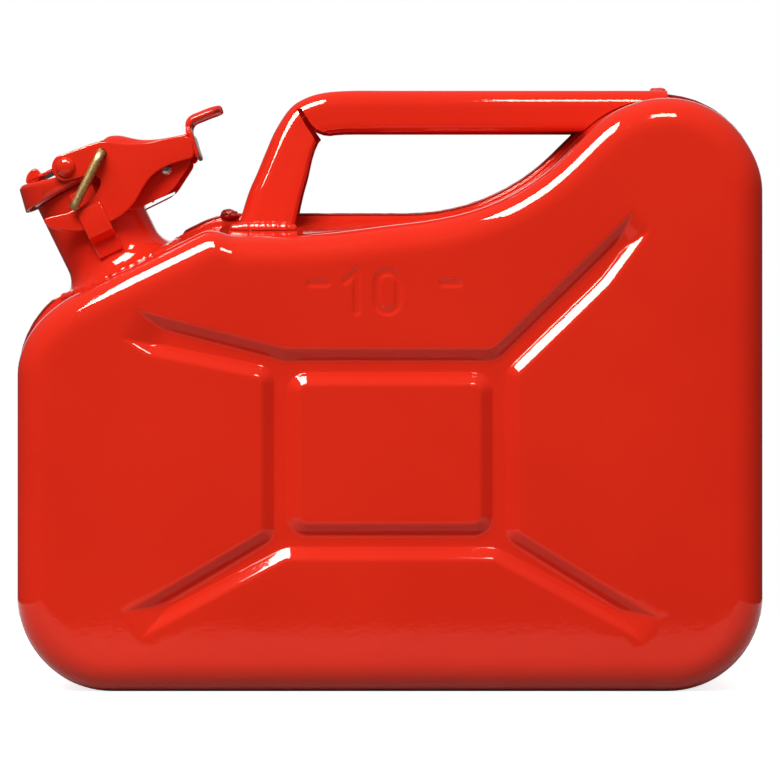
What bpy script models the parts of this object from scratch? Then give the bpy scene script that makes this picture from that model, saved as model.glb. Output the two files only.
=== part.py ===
"""A ten-litre sheet-metal jerry can with a cam-lever closure.

Metres, +Z up. The origin is at the middle of the base, the front face looks
along -Y, and the filler neck leans towards -X.
"""
import math

import bmesh
import bpy
from mathutils import Matrix, Vector

# General
GAP = 0.0003                 # air left between two separate pieces
CUT_OVERRUN = 0.004          # how far a cutter runs past what it cuts
EMBED = 0.0004               # how deep one part of a fused piece runs into another

# Body: two deep-drawn half shells that meet at the seam, y = 0
BODY_WIDTH = 0.3476          # over both ends, at the seam, without the flange
BODY_DEPTH = 0.140           # front face to rear face
TOP_HEIGHT = 0.2205          # flat top under the handle, at the seam
HORN_HEIGHT = 0.2771         # top of the raised right-hand end, at the seam
SHELL_WALL = 0.0010
CORNER_RADIUS = 0.0456       # all four corners of the outline
SHOULDER_RADIUS = 0.040      # bend from the flat top down to the shoulder
SHOULDER_TILT = math.radians(26.2)
SHOULDER_RUN = 0.0935        # from the left end to where shoulder and flat top would meet
HORN_FLAT = 0.0676           # from the right end to where the rising line would end
SCOOP_RUN = 0.0566           # width of the rising line between flat top and horn
HORN_BEND = 0.0215           # length that the bend onto the horn takes off that line
SCOOP_BEND_SHARE = 0.708     # share of the rest that the hollow curve takes
EDGE_RADIUS = 0.020          # rounding round the front and rear faces
FLANGE_HEIGHT = 0.0012       # seam flange, outwards
FLANGE_THICKNESS = 0.0010    # of one shell's flange
SEAM_RECESS = 0.0028         # how far the seam is sunk under the base
SEAM_RECESS_HALF = 0.0070    # half width of that groove under the base
SIDE_DRAFT = 0.0013          # how much each shell narrows from seam to face edge
CROWN_DROP = 0.0060          # how much the top falls from seam to face edge
CROWN_NEAR_SHARE = 0.40      # share of the crown drop next to the seam
CROWN_NEAR_DEPTH = 0.015     # how far from the seam that share is reached
SHOULDER_CROWN_SHARE = 0.35  # crown on the shoulder, as a share of the top's
END_CROWN_SHARE = 0.10       # crown at the left end and on the horn
CROWN_FADE = 0.018           # length over which the crown changes
CORNER_STEPS = 6
EDGE_STEPS = 5

# Pressed panel pattern, on both faces
GROOVE_DEPTH = 0.0045
GROOVE_SLOPE = 0.0044        # width of a groove's sloping wall, seen from the front
PATTERN_HEIGHT = 0.1096      # middle of the pattern above the base
RING_HALF_WIDTH = 0.0560     # middle of the outer walls round the centre panel
RING_HALF_HEIGHT = 0.0455
PANEL_HALF_WIDTH = 0.0445
PANEL_HALF_HEIGHT = 0.0348
PANEL_CORNER = 0.006
RING_CHAMFER = 0.0080        # corner of the ring that opens into an arm
# Outer ends of the four arms, as shares of the half width and of the height there
ARM_END_SHARES = {
    "low_right": ((0.690, 0.091), (0.683, 0.120)),
    "high_right": ((0.572, 0.684), (0.650, 0.755), (0.653, 0.790), (0.480, 0.684)),
    "high_left": ((-0.674, 0.784), (-0.689, 0.749), (-0.631, 0.716)),
    "low_left": ((-0.673, 0.131), (-0.681, 0.097)),
}

# Seam weld
SEAM_BEAD_RADIUS = 0.0006
SEAM_BEAD_SIDES = 6

# Filler neck, along its own leaning axis; heights are above the shoulder
NECK_INSET = 0.0461          # from the left end to where its axis leaves the shoulder line
NECK_RADIUS = 0.0230
NECK_WALL = 0.0012
NECK_HEIGHT = 0.0424
NECK_FOOT_RADIUS = 0.0290
NECK_FOOT_HEIGHT = 0.0095
FLANGE_STUB = 0.00005        # what is left of the flange under the foot
NECK_SEAT = FLANGE_STUB + GAP
SHELL_BORE_RADIUS = 0.0218
RING_TUBE_RADIUS = 0.0015    # rolled mouth ring
NECK_SIDES = 32
NECK_BEAD_RADIUS = 0.0009

# Breather tube inside the neck
BREATHER_RADIUS = 0.0046
BREATHER_WALL = 0.0008
BREATHER_TOP = 0.036
BREATHER_DEPTH = 0.060

# Keepers, one on the front and one on the rear of the neck
STRAP_HALF_WIDTH = 0.0062
STRAP_THICKNESS = 0.0016
STRAP_FOOT = 0.0065          # lower end
STRAP_BEND_LOW = 0.0140      # where the strap steps outwards
STRAP_BEND_HIGH = 0.0167
STRAP_TOP = 0.0307
LUG_FOOT = 0.0310
LUG_TOP = 0.0400
LUG_LIP = 0.0016

# Closure pivots: distance from the neck's axis and height above the shoulder
HINGE_ALONG = 0.0404
HINGE_UP = 0.0310
LEVER_ALONG = -0.0013
LEVER_UP = 0.0521
WIRE_ALONG = 0.0164
WIRE_UP = 0.0502

# Hinge bracket
BRACKET_HALF = 0.0190        # outer half width
BRACKET_THICKNESS = 0.0016
BRACKET_LOW = 0.0203         # lower edge
BRACKET_HIGH = 0.0380
BRACKET_TOE = 0.0378         # where the lower edge turns up
BRACKET_REACH = 0.0528       # furthest corner
BRACKET_REACH_UP = 0.0292
BRACKET_ROOT = 0.0262        # the back plate's distance from the neck's axis
BRACKET_SLOT_LENGTH = 0.0125
BRACKET_SLOT_HEIGHT = 0.0014
BRACKET_SLOT_RIM = 0.0009

# Hinge pin
HINGE_PIN_RADIUS = 0.0018
HINGE_HEAD_RADIUS = 0.0027
HINGE_HEAD_HEIGHT = 0.0012

# Lid
LID_RADIUS = 0.0266
LID_WALL = 0.0012
LID_SKIRT_FOOT = 0.0440
LID_PLATE_UNDER = 0.0481
LID_PLATE_RADIUS = 0.0215    # flat middle of the lid
NOSE_RISE = 0.0050           # how far the rim rises at the nose
NOSE_REACH = 0.0018          # how far the nose's lower edge stands out
NOSE_DROP = 0.0006
LID_SIDES = 36
GASKET_THICKNESS = 0.0018
GASKET_INNER = 0.0195
GASKET_OUTER = 0.0250

# Lid arm: two side plates, a crown web and the curled tab
ARM_HALF = 0.0150            # outer half width
ARM_THICKNESS = 0.0014
ARM_LENGTH = 0.0417          # unit of the arm's outlines, from the lever's pivot
# Outside of the arm's crown web from the tab to the hinge, and its inside, as shares
ARM_WEB_SHARES = (
    (-0.307, 0.082), (0.391, 0.082), (0.516, 0.007), (0.659, 0.000),
    (0.746, -0.046), (0.906, -0.175), (1.000, -0.271), (1.086, -0.405),
)
ARM_UNDER_SHARES = (
    (-0.307, 0.048), (0.372, 0.048), (0.501, -0.026), (0.647, -0.034),
    (0.727, -0.077), (0.885, -0.204), (0.974, -0.295),
)
ARM_EAR_RADIUS = 0.0052      # round the hinge pin
TAB_HALF_WIDTH = 0.0060
TAB_THICKNESS = 0.0012

# Lever
CHEEK_INNER = 0.0274         # inside face of a cheek
CHEEK_THICKNESS = 0.0020
LEVER_LENGTH = 0.060         # unit of the lever's outlines, from its pivot
# Side view of the lever, as shares of its length from the pivot: first the opening of
# the cam and the hook, then the belly and the back of a cheek, then the three webs
HOOK_SHARES = (
    (0.172, -0.145), (0.192, -0.175), (0.202, -0.210), (0.178, -0.248),
    (0.138, -0.282), (0.085, -0.308), (0.022, -0.322), (-0.062, -0.332),
    (-0.145, -0.325), (-0.242, -0.303), (-0.320, -0.282), (-0.343, -0.312),
    (-0.325, -0.368), (-0.268, -0.418), (-0.178, -0.473), (-0.085, -0.513),
    (0.030, -0.538), (0.148, -0.538), (0.255, -0.527),
)
CHEEK_SHARES = (
    (0.360, -0.487), (0.423, -0.445), (0.490, -0.398), (0.550, -0.363),
    (0.622, -0.342), (0.738, -0.335), (0.855, -0.355), (0.943, -0.372),
    (0.985, -0.202), (0.905, -0.170), (0.752, -0.128), (0.625, -0.093),
    (0.528, -0.055), (0.440, -0.002), (0.373, 0.042), (0.317, 0.070),
    (0.155, 0.087),
)
CROWN_SHARES = (
    (0.375, 0.015), (0.445, 0.018), (0.508, -0.013), (0.622, -0.078),
    (0.745, -0.137), (0.902, -0.173), (0.942, -0.172), (0.948, -0.142),
    (0.910, -0.143), (0.755, -0.108), (0.637, -0.052), (0.525, 0.013),
    (0.457, 0.050), (0.382, 0.045),
)
THUMB_SHARES = (
    (0.923, -0.168), (0.950, -0.170), (0.988, -0.193), (1.022, -0.152),
    (1.052, -0.125), (1.088, -0.118), (1.172, -0.130), (1.265, -0.133),
    (1.292, -0.120), (1.288, -0.092), (1.245, -0.072), (1.165, -0.058),
    (1.088, -0.052), (1.030, -0.058), (0.988, -0.085), (0.955, -0.135),
)
END_WEB_SHARES = (
    (0.923, -0.160), (0.930, -0.373), (0.968, -0.378), (1.008, -0.202),
    (1.022, -0.160), (0.972, -0.148),
)
LEVER_BEND = 0.0200          # from here the cheeks lean inwards
LEVER_TAIL_INNER = 0.0206    # inside face of a cheek at the tail
LEVER_TAIL = 0.0580
THUMB_HALF_WIDTH = 0.0140
LEVER_END_RADIUS = 0.0065    # round the pivot
LEVER_PIN_RADIUS = 0.0020
LEVER_HEAD_RADIUS = 0.0046
LEVER_HEAD_HEIGHT = 0.0035

# Safety wire
WIRE_RADIUS = 0.0019
WIRE_PLANE = 0.0338          # the hanging leg's distance from the middle
WIRE_LEG = 0.0285
WIRE_LEG_ANGLE = math.radians(217.6)   # the leg's direction, in the neck's frame
WIRE_BEND_RADIUS = 0.0040
WIRE_STUB_END = 0.0246
WIRE_HEAD_RADIUS = 0.0029
WIRE_HEAD_HEIGHT = 0.0012

# Handle: a folded channel, open on its inner side
HANDLE_PROUD = 0.0036        # how far the grip's top stands above the horn
HANDLE_HEIGHT = 0.0212
HANDLE_HALF = 0.0150
HANDLE_FOOT_HALF = 0.0240
HANDLE_WALL = 0.0015
HANDLE_CROWN_RADIUS = 0.0085
HANDLE_CURL = 0.0030
HANDLE_END_INSET = 0.0428    # from the body's right end to the handle's
HANDLE_BEND_RUN = 0.0575     # from the foot's outer edge to the straight grip
HANDLE_FOOT_DEPTH = 0.0100   # how far the foot runs below the top before trimming
FOOT_INSET = 0.0048          # from the shoulder's bend to the foot's outer edge
FOOT_LENGTH = 0.0305
# Stations round the bend: outer and inner point, each as shares of the way from the
# foot's outer edge to the bend's right end, and from the flat top to the handle's top
HANDLE_BEND_SHARES = (
    ((0.780, 0.985), (0.900, 0.648)),
    ((0.620, 0.942), (0.815, 0.640)),
    ((0.490, 0.860), (0.765, 0.628)),
    ((0.365, 0.690), (0.725, 0.605)),
    ((0.280, 0.523), (0.680, 0.490)),
    ((0.198, 0.350), (0.645, 0.325)),
    ((0.112, 0.172), (0.600, 0.160)),
)
# Corners of the notch cut into both sides of the bend, in the same shares
NOTCH_SHARES = (
    (0.555, 0.846), (0.578, 0.838), (0.650, 0.728), (0.700, 0.672), (0.770, 0.645),
    (0.860, 0.600), (0.860, 0.560), (0.735, 0.560), (0.690, 0.640), (0.632, 0.725),
)

# Weld beads at the handle
FOOT_BEAD_RADIUS = 0.0027
TOE_BLOB_RADIUS = 0.0048
END_BLOB_RADIUS = 0.0050
BEAD_SIDES = 8


def clear_scene():
    """Empty the file, so that the model is all it holds."""
    for old in list(bpy.data.objects):
        bpy.data.objects.remove(old, do_unlink=True)


def finish(name, colour, roughness, metallic=0.0, coat=0.0):
    """One Principled material."""
    material = bpy.data.materials.new(name)
    material.use_nodes = True
    shader = material.node_tree.nodes["Principled BSDF"]
    shader.inputs["Base Color"].default_value = (*colour, 1.0)
    shader.inputs["Roughness"].default_value = roughness
    shader.inputs["Metallic"].default_value = metallic
    shader.inputs["Coat Weight"].default_value = coat
    return material


def red_paint(name):
    """The glossy red paint that covers the can."""
    return finish(name + "_paint", (0.72, 0.030, 0.014), 0.28, 0.0, 0.6)


def solid(name, verts, faces, material, pivot=None):
    """A mesh object with outward faces, placed under a pivot if it has one."""
    mesh = bpy.data.meshes.new(name)
    mesh.from_pydata([Vector(v) for v in verts], [], faces)
    work = bmesh.new()
    work.from_mesh(mesh)
    bmesh.ops.recalc_face_normals(work, faces=work.faces)
    work.to_mesh(mesh)
    work.free()
    mesh.materials.append(material)
    mesh.shade_smooth()
    mesh.set_sharp_from_angle(angle=math.radians(35.0))
    piece = bpy.data.objects.new(name, mesh)
    bpy.context.scene.collection.objects.link(piece)
    if pivot is not None:
        piece.parent = pivot
    return piece


def as_cutter(piece):
    """Mark an object as a working shape that isn't part of the can."""
    piece.hide_render = True
    piece.display_type = "WIRE"
    return piece


def combine(piece, other, operation):
    """Add a Boolean of another object."""
    modifier = piece.modifiers.new(operation.lower(), "BOOLEAN")
    modifier.operation = operation
    modifier.solver = "EXACT"
    modifier.object = other
    return piece


def cut(piece, other):
    return combine(piece, as_cutter(other), "DIFFERENCE")


def fuse(piece, other):
    return combine(piece, as_cutter(other), "UNION")


def pivot_at(name, matrix, parent=None):
    """An empty whose origin lies on a joint's axis."""
    empty = bpy.data.objects.new(name, None)
    bpy.context.scene.collection.objects.link(empty)
    empty.parent = parent
    empty.matrix_local = matrix
    return empty


def skin(rings, capped=True, looped=False):
    """Vertices and faces of a loft through rings of equal length."""
    count = len(rings[0])
    verts = [point for ring in rings for point in ring]
    faces = []
    spans = len(rings) if looped else len(rings) - 1
    for level in range(spans):
        low, high = level * count, ((level + 1) % len(rings)) * count
        for i in range(count):
            j = (i + 1) % count
            faces.append((low + i, low + j, high + j, high + i))
    if capped and not looped:
        faces.append(tuple(range(count)))
        last = (len(rings) - 1) * count
        faces.append(tuple(last + i for i in reversed(range(count))))
    return verts, faces


def plate(name, outline, y_low, y_high, material, pivot=None):
    """A flat outline in x and z, given a thickness along y."""
    rings = [[(x, y, z) for x, z in outline] for y in (y_low, y_high)]
    return solid(name, *skin(rings), material, pivot)


def across(name, outline, x_low, x_high, material, pivot=None):
    """A flat outline in y and z, given a width along x."""
    rings = [[(x, y, z) for y, z in outline] for x in (x_low, x_high)]
    return solid(name, *skin(rings), material, pivot)


def arc(centre, radius, start, end, steps):
    """Points along a circular arc; angles in radians."""
    return [(centre[0] + radius * math.cos(start + (end - start) * i / steps),
             centre[1] + radius * math.sin(start + (end - start) * i / steps))
            for i in range(steps + 1)]


def tube(name, path, radii, sides, material, pivot=None):
    """A round bar along a path, closed at both ends, with a radius at each point."""
    points = [Vector(p) for p in path]
    rings = []
    side = None
    for i, here in enumerate(points):
        ahead = points[min(i + 1, len(points) - 1)] - points[max(i - 1, 0)]
        ahead.normalize()
        if side is None:
            seed = Vector((0, 1, 0)) if abs(ahead.y) < 0.9 else Vector((1, 0, 0))
            side = ahead.cross(seed).normalized()
        side = (side - ahead * side.dot(ahead)).normalized()
        other = ahead.cross(side)
        rings.append([here + (side * math.cos(2 * math.pi * k / sides)
                              + other * math.sin(2 * math.pi * k / sides)) * radii[i]
                      for k in range(sides)])
    return solid(name, *skin(rings), material, pivot)


def turned(name, profile, sides, material, pivot=None, along_y=False, centre=(0, 0, 0)):
    """A closed profile of radius and height, turned about the z or the y axis."""
    rings = []
    for k in range(sides):
        angle = 2 * math.pi * k / sides
        ring = []
        for radius, height in profile:
            flat = (radius * math.cos(angle), radius * math.sin(angle), height)
            if along_y:
                flat = (flat[0], flat[2], flat[1])
            ring.append(tuple(a + b for a, b in zip(flat, centre)))
        rings.append(ring)
    return solid(name, *skin(rings, looped=True), material, pivot)


def round_bar(name, stations, sides, material, pivot=None, centre=(0, 0, 0)):
    """A solid turned bar along y; stations are radius and distance along y."""
    rings = [[(centre[0] + radius * math.cos(2 * math.pi * k / sides), centre[1] + along,
               centre[2] + radius * math.sin(2 * math.pi * k / sides))
              for k in range(sides)] for radius, along in stations]
    return solid(name, *skin(rings), material, pivot)


def rounded_outline(corners):
    """Points and outward normals round a closed outline, anticlockwise."""
    found = []
    total = len(corners)
    for i, (point, radius, steps) in enumerate(corners):
        here = Vector(point)
        arriving = (here - Vector(corners[i - 1][0])).normalized()
        leaving = (Vector(corners[(i + 1) % total][0]) - here).normalized()
        turn = math.atan2(arriving.x * leaving.y - arriving.y * leaving.x,
                          arriving.dot(leaving))
        sign = 1.0 if turn > 0 else -1.0
        normal = Vector((arriving.y, -arriving.x))
        start = here - arriving * radius * math.tan(abs(turn) / 2)
        centre = start - normal * radius * sign
        for step in range(steps + 1):
            angle = turn * step / steps
            direction = Vector((normal.x * math.cos(angle) - normal.y * math.sin(angle),
                                normal.x * math.sin(angle) + normal.y * math.cos(angle)))
            found.append((centre + direction * radius * sign, direction))
    return found


def horn_corner_x():
    """Where the rising line would meet the horn's top."""
    return BODY_WIDTH / 2 - HORN_FLAT


def shoulder_bend_x():
    """Where the shoulder would meet the flat top."""
    return SHOULDER_RUN - BODY_WIDTH / 2


def handle_top():
    return HORN_HEIGHT + HANDLE_PROUD


def body_outline():
    """The can's outline at the seam, from lower left, anticlockwise."""
    half = BODY_WIDTH / 2
    rise = HORN_HEIGHT - TOP_HEIGHT
    slope = math.atan2(rise, SCOOP_RUN)
    scoop_bend = (math.hypot(rise, SCOOP_RUN) - HORN_BEND) * SCOOP_BEND_SHARE
    left_corner = TOP_HEIGHT - SHOULDER_RUN * math.tan(SHOULDER_TILT)
    return rounded_outline([
        ((-half, 0), CORNER_RADIUS, CORNER_STEPS),
        ((half, 0), CORNER_RADIUS, CORNER_STEPS),
        ((half, HORN_HEIGHT), CORNER_RADIUS, CORNER_STEPS),
        ((horn_corner_x(), HORN_HEIGHT), HORN_BEND / math.tan(slope / 2), CORNER_STEPS // 2),
        ((horn_corner_x() - SCOOP_RUN, TOP_HEIGHT), scoop_bend / math.tan(slope / 2),
         CORNER_STEPS - 1),
        ((shoulder_bend_x(), TOP_HEIGHT), SHOULDER_RADIUS, CORNER_STEPS // 2),
        ((-half, left_corner), CORNER_RADIUS, CORNER_STEPS - 1),
    ])


def fade(value, start, end):
    """0 before start, 1 after end, smooth between."""
    share = min(1.0, max(0.0, (value - start) / (end - start)))
    return share * share * (3 - 2 * share)


def crown_at(x, up):
    """How much of the crown drop applies at a point of the outline."""
    if up <= 0:
        return 0.0
    left_end = -BODY_WIDTH / 2
    share = END_CROWN_SHARE
    share += (SHOULDER_CROWN_SHARE - share) * fade(x, left_end, left_end + CROWN_FADE)
    bend = shoulder_bend_x()
    share += (1.0 - share) * fade(x, bend - CROWN_FADE / 2, bend + CROWN_FADE / 2)
    horn = horn_corner_x()
    share += (END_CROWN_SHARE - share) * fade(x, horn - 2 * CROWN_FADE, horn)
    return share * fade(up, 0.0, 0.6)


def sections(grow):
    """Stations from the seam to the face: depth, then side, top and base offsets."""
    near = CROWN_DROP * CROWN_NEAR_SHARE
    face_edge = BODY_DEPTH / 2 - EDGE_RADIUS
    groove = SEAM_RECESS_HALF
    rows = [
        (GAP / 2, 0.0, 0.0, -SEAM_RECESS),
        (groove * 0.7, -SIDE_DRAFT * 0.15, -near * 0.45, -SEAM_RECESS),
        (groove, -SIDE_DRAFT * 0.2, -near * 0.6, 0.0),
        (CROWN_NEAR_DEPTH, -SIDE_DRAFT * 0.35, -near, 0.0),
        (face_edge, -SIDE_DRAFT, -CROWN_DROP, 0.0),
    ]
    for step in range(1, EDGE_STEPS + 1):
        angle = math.pi / 2 * step / EDGE_STEPS
        radius = EDGE_RADIUS + grow
        inward = radius * (1 - math.cos(angle))
        rows.append((face_edge + radius * math.sin(angle), -SIDE_DRAFT - inward,
                     -CROWN_DROP - inward, -inward))
    return [(depth, side + grow, top + grow, base + grow) for depth, side, top, base in rows]


def body_ring(outline, side, row):
    """One ring of the shell at a station, on the front (-1) or rear (1) half."""
    depth, side_offset, top_offset, base_offset = row
    ring = []
    for point, normal in outline:
        top = crown_at(point.x, normal.y)
        base = max(0.0, -normal.y)
        offset = side_offset + (top_offset - side_offset) * top
        offset += (base_offset - side_offset) * base
        place = point + normal * offset
        ring.append((place.x, side * depth, place.y))
    return ring


def flange_rows(height):
    """The two stations of the seam flange's outer edge."""
    low = height - SEAM_RECESS
    return [(GAP / 2, height, height, low),
            (GAP / 2 + FLANGE_THICKNESS, height, height, low)]


def offset_loop(points, distance):
    """A closed anticlockwise loop moved outwards by a distance, with mitred corners."""
    moved = []
    for i, point in enumerate(points):
        here = Vector(point)
        back = (here - Vector(points[i - 1])).normalized()
        ahead = (Vector(points[(i + 1) % len(points)]) - here).normalized()
        n_back = Vector((back.y, -back.x))
        n_ahead = Vector((ahead.y, -ahead.x))
        mitre = n_back + n_ahead
        moved.append(here + mitre * (2 * distance / mitre.length_squared))
    return [(p.x, p.y) for p in moved]


def groove_loop():
    """Middle of the groove's outer wall, anticlockwise from the lower left corner."""
    w, h, c = RING_HALF_WIDTH, RING_HALF_HEIGHT, RING_CHAMFER
    z = PATTERN_HEIGHT

    def ends(arm):
        tall = TOP_HEIGHT if arm == "high_left" else HORN_HEIGHT
        return [(x * BODY_WIDTH / 2, share * tall) for x, share in ARM_END_SHARES[arm]]
    return ([(c - w, z - h), (w - c, z - h)] + ends("low_right")
            + [(w, z - h + c), (w, z + h - c)] + ends("high_right")
            + [(w - c, z + h), (c - w, z + h)] + ends("high_left")
            + [(-w, z + h - c), (-w, z - h + c)] + ends("low_left"))


def panel_loop():
    """Middle of the wall round the raised centre panel, anticlockwise."""
    w, h, r = PANEL_HALF_WIDTH - PANEL_CORNER, PANEL_HALF_HEIGHT - PANEL_CORNER, PANEL_CORNER
    loop = []
    for quarter, (sx, sz) in enumerate(((1, 1), (-1, 1), (-1, -1), (1, -1))):
        start = quarter * math.pi / 2
        loop += arc((sx * w, PATTERN_HEIGHT + sz * h), r, start, start + math.pi / 2, 2)
    return loop


def groove_form(name, side, grow, outer, material):
    """The pressed groove as a solid, from a depth outside the face to its floor."""
    face = BODY_DEPTH / 2
    floor = face - GROOVE_DEPTH - grow
    slope = GROOVE_SLOPE / GROOVE_DEPTH

    def level(depth, loop, inward, spread):
        reach = (depth - (face - GROOVE_DEPTH / 2)) * slope
        points = offset_loop(loop, inward * (reach + spread))
        return [(x, side * depth, z) for x, z in points]
    spread = grow
    form = solid(name, *skin([level(outer, groove_loop(), 1, spread),
                              level(floor, groove_loop(), 1, spread)]), material)
    past_out, past_in = outer + EMBED, floor - EMBED
    island = solid(name + "_panel", *skin([level(past_out, panel_loop(), -1, spread),
                                           level(past_in, panel_loop(), -1, spread)]),
                   material)
    return cut(form, island)


def half_shell(name, side):
    """One pressed half of the body, with its half of the seam flange."""
    paint = red_paint(name)
    outline = body_outline()
    outer_rows = flange_rows(FLANGE_HEIGHT)
    seam = sections(0.0)
    root = (GAP / 2 + FLANGE_THICKNESS,) + seam[0][1:]
    rings = [body_ring(outline, side, row) for row in outer_rows + [root] + seam[1:]]
    inner = sections(-SHELL_WALL)
    rings = [body_ring(outline, side, row) for row in reversed(inner)] + rings
    shell = solid(name, *skin(rings), paint)
    face = BODY_DEPTH / 2
    liner = groove_form(name + "_liner", side, SHELL_WALL, face - SHELL_WALL / 2, paint)
    fuse(shell, liner)
    cut(shell, groove_form(name + "_groove", side, 0.0, face + CUT_OVERRUN, paint))
    neck = neck_frame()
    bore = turned_cutter(name + "_bore", SHELL_BORE_RADIUS, -EDGE_RADIUS, EDGE_RADIUS, neck)
    cut(shell, bore)
    clear = turned_cutter(name + "_flange_gap", flange_clear_radius(), FLANGE_STUB,
                          EDGE_RADIUS, neck)
    cut(shell, clear)
    return shell


def flange_clear_radius():
    """The flange stops this far from the neck's axis, outside the neck's weld."""
    return NECK_FOOT_RADIUS + 2 * (GAP + NECK_BEAD_RADIUS)


def neck_origin():
    """Where the neck's axis leaves the shoulder."""
    fall = (SHOULDER_RUN - NECK_INSET) * math.tan(SHOULDER_TILT)
    return Vector((NECK_INSET - BODY_WIDTH / 2, 0, TOP_HEIGHT - fall))


def neck_frame():
    """The neck's own frame: x up the shoulder, z along the neck's axis."""
    return Matrix.Translation(neck_origin()) @ Matrix.Rotation(-SHOULDER_TILT, 4, "Y")


def turned_cutter(name, radius, low, high, matrix):
    """A round cutter along the neck's axis."""
    rings = [[(radius * math.cos(2 * math.pi * k / NECK_SIDES),
               radius * math.sin(2 * math.pi * k / NECK_SIDES), z)
              for k in range(NECK_SIDES)] for z in (low, high)]
    piece = solid(name, *skin(rings), red_paint(name))
    piece.matrix_world = matrix
    return piece


def body_envelope(name, clearance):
    """The closed outside of the body with its seam, grown by a clearance."""
    outline = body_outline()
    bead = FLANGE_HEIGHT + GAP + 2 * SEAM_BEAD_RADIUS + clearance
    ridge_half = FLANGE_THICKNESS + GAP / 2 + clearance
    rows = sections(clearance)
    low = bead - SEAM_RECESS
    half = [(ridge_half, bead, bead, low), (ridge_half,) + rows[0][1:]] + rows[1:]
    rings = [body_ring(outline, -1, row) for row in reversed(half)]
    rings += [body_ring(outline, 1, row) for row in half]
    return as_cutter(solid(name, *skin(rings), red_paint(name)))


def seam_weld():
    """The weld bead along the flange's edge, open under the neck's foot."""
    base = neck_origin()
    reach = FLANGE_HEIGHT + GAP + SEAM_BEAD_RADIUS
    row = (0.0, reach, reach, reach - SEAM_RECESS)
    ring = body_ring(body_outline(), 1, row)
    along = Vector((math.cos(SHOULDER_TILT), 0, math.sin(SHOULDER_TILT)))
    clear = flange_clear_radius() + GAP
    far = [i for i, p in enumerate(ring) if (Vector(p) - base).length > clear * 1.2]
    turn = next(i for i in range(len(far) - 1) if far[i + 1] - far[i] > 1) + 1 \
        if far[-1] - far[0] > len(far) - 1 else 0
    order = far[turn:] + far[:turn]
    path = [Vector(ring[i]) for i in order]
    normal = Vector((-along.z, 0, along.x))
    lift = base + normal * reach
    path = [lift - along * clear] + path + [lift + along * clear]
    radii = [SEAM_BEAD_RADIUS] * len(path)
    return tube("seam_weld", path, radii, SEAM_BEAD_SIDES, red_paint("seam_weld"))


def shoulder_drop(across_y):
    """How far the shoulder lies below its seam line at a distance from the seam."""
    depth = abs(across_y)
    drops = [(row[0], -row[1] + (row[1] - row[2]) * SHOULDER_CROWN_SHARE)
             for row in sections(0.0)]
    for (near, high), (far, low) in zip(drops, drops[1:]):
        if depth <= far:
            return high + (low - high) * max(0.0, depth - near) / (far - near)
    return drops[-1][1]


def filler_neck(pivot):
    """The neck: a drawn tube whose foot flares onto the shoulder."""
    r, wall, foot = NECK_RADIUS, NECK_WALL, NECK_FOOT_HEIGHT
    flare = NECK_FOOT_RADIUS - r
    profile = [(r - wall, NECK_HEIGHT, 0.0), (r, NECK_HEIGHT, 0.0), (r, foot, 0.0),
               (r + flare * 0.08, foot * 0.62, 0.2), (r + flare * 0.3, foot * 0.32, 0.5),
               (r + flare * 0.65, foot * 0.13, 0.8), (r + flare, wall / 2 + NECK_SEAT, 1.0),
               (r + flare, NECK_SEAT, 1.0), (r - wall, NECK_SEAT, 1.0)]
    rings = []
    for k in range(NECK_SIDES):
        angle = 2 * math.pi * k / NECK_SIDES
        ring = []
        for radius, height, follow in profile:
            x, y = radius * math.cos(angle), radius * math.sin(angle)
            ring.append((x, y, height - follow * shoulder_drop(y)))
        rings.append(ring)
    return solid("neck_tube", *skin(rings, looped=True), red_paint("neck_tube"), pivot)


def neck_weld(pivot):
    """The weld bead round the foot of the neck."""
    radius = NECK_FOOT_RADIUS + GAP + NECK_BEAD_RADIUS
    rings = []
    for k in range(NECK_SIDES):
        angle = 2 * math.pi * k / NECK_SIDES
        outward = Vector((math.cos(angle), math.sin(angle), 0))
        low = NECK_SEAT + NECK_BEAD_RADIUS - shoulder_drop(radius * math.sin(angle) * 1.04)
        middle = outward * radius + Vector((0, 0, low))
        ring = []
        for j in range(SEAM_BEAD_SIDES):
            turn = 2 * math.pi * j / SEAM_BEAD_SIDES
            ring.append(middle + outward * NECK_BEAD_RADIUS * math.cos(turn)
                        + Vector((0, 0, NECK_BEAD_RADIUS * math.sin(turn))))
        rings.append(ring)
    return solid("neck_weld", *skin(rings, looped=True), red_paint("neck_weld"), pivot)


def mouth_ring(pivot):
    """The rolled ring that the lid's seal presses on."""
    middle = NECK_HEIGHT + GAP + RING_TUBE_RADIUS
    profile = [(NECK_RADIUS + x, z) for x, z in
               arc((0, middle), RING_TUBE_RADIUS, 0, 2 * math.pi, 8)[:-1]]
    return turned("mouth_ring", profile, NECK_SIDES, red_paint("mouth_ring"), pivot)


def breather_tube(pivot):
    """The air pipe along the inside of the neck, down into the can."""
    inner = BREATHER_RADIUS - BREATHER_WALL
    centre = (NECK_RADIUS - NECK_WALL - GAP - BREATHER_RADIUS, 0, 0)
    profile = [(inner, -BREATHER_DEPTH), (BREATHER_RADIUS, -BREATHER_DEPTH),
               (BREATHER_RADIUS, BREATHER_TOP), (inner, BREATHER_TOP)]
    steel = finish("bare_steel", (0.55, 0.55, 0.56), 0.35, 1.0)
    return turned("breather_tube", profile, 16, steel, pivot, centre=centre)


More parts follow.
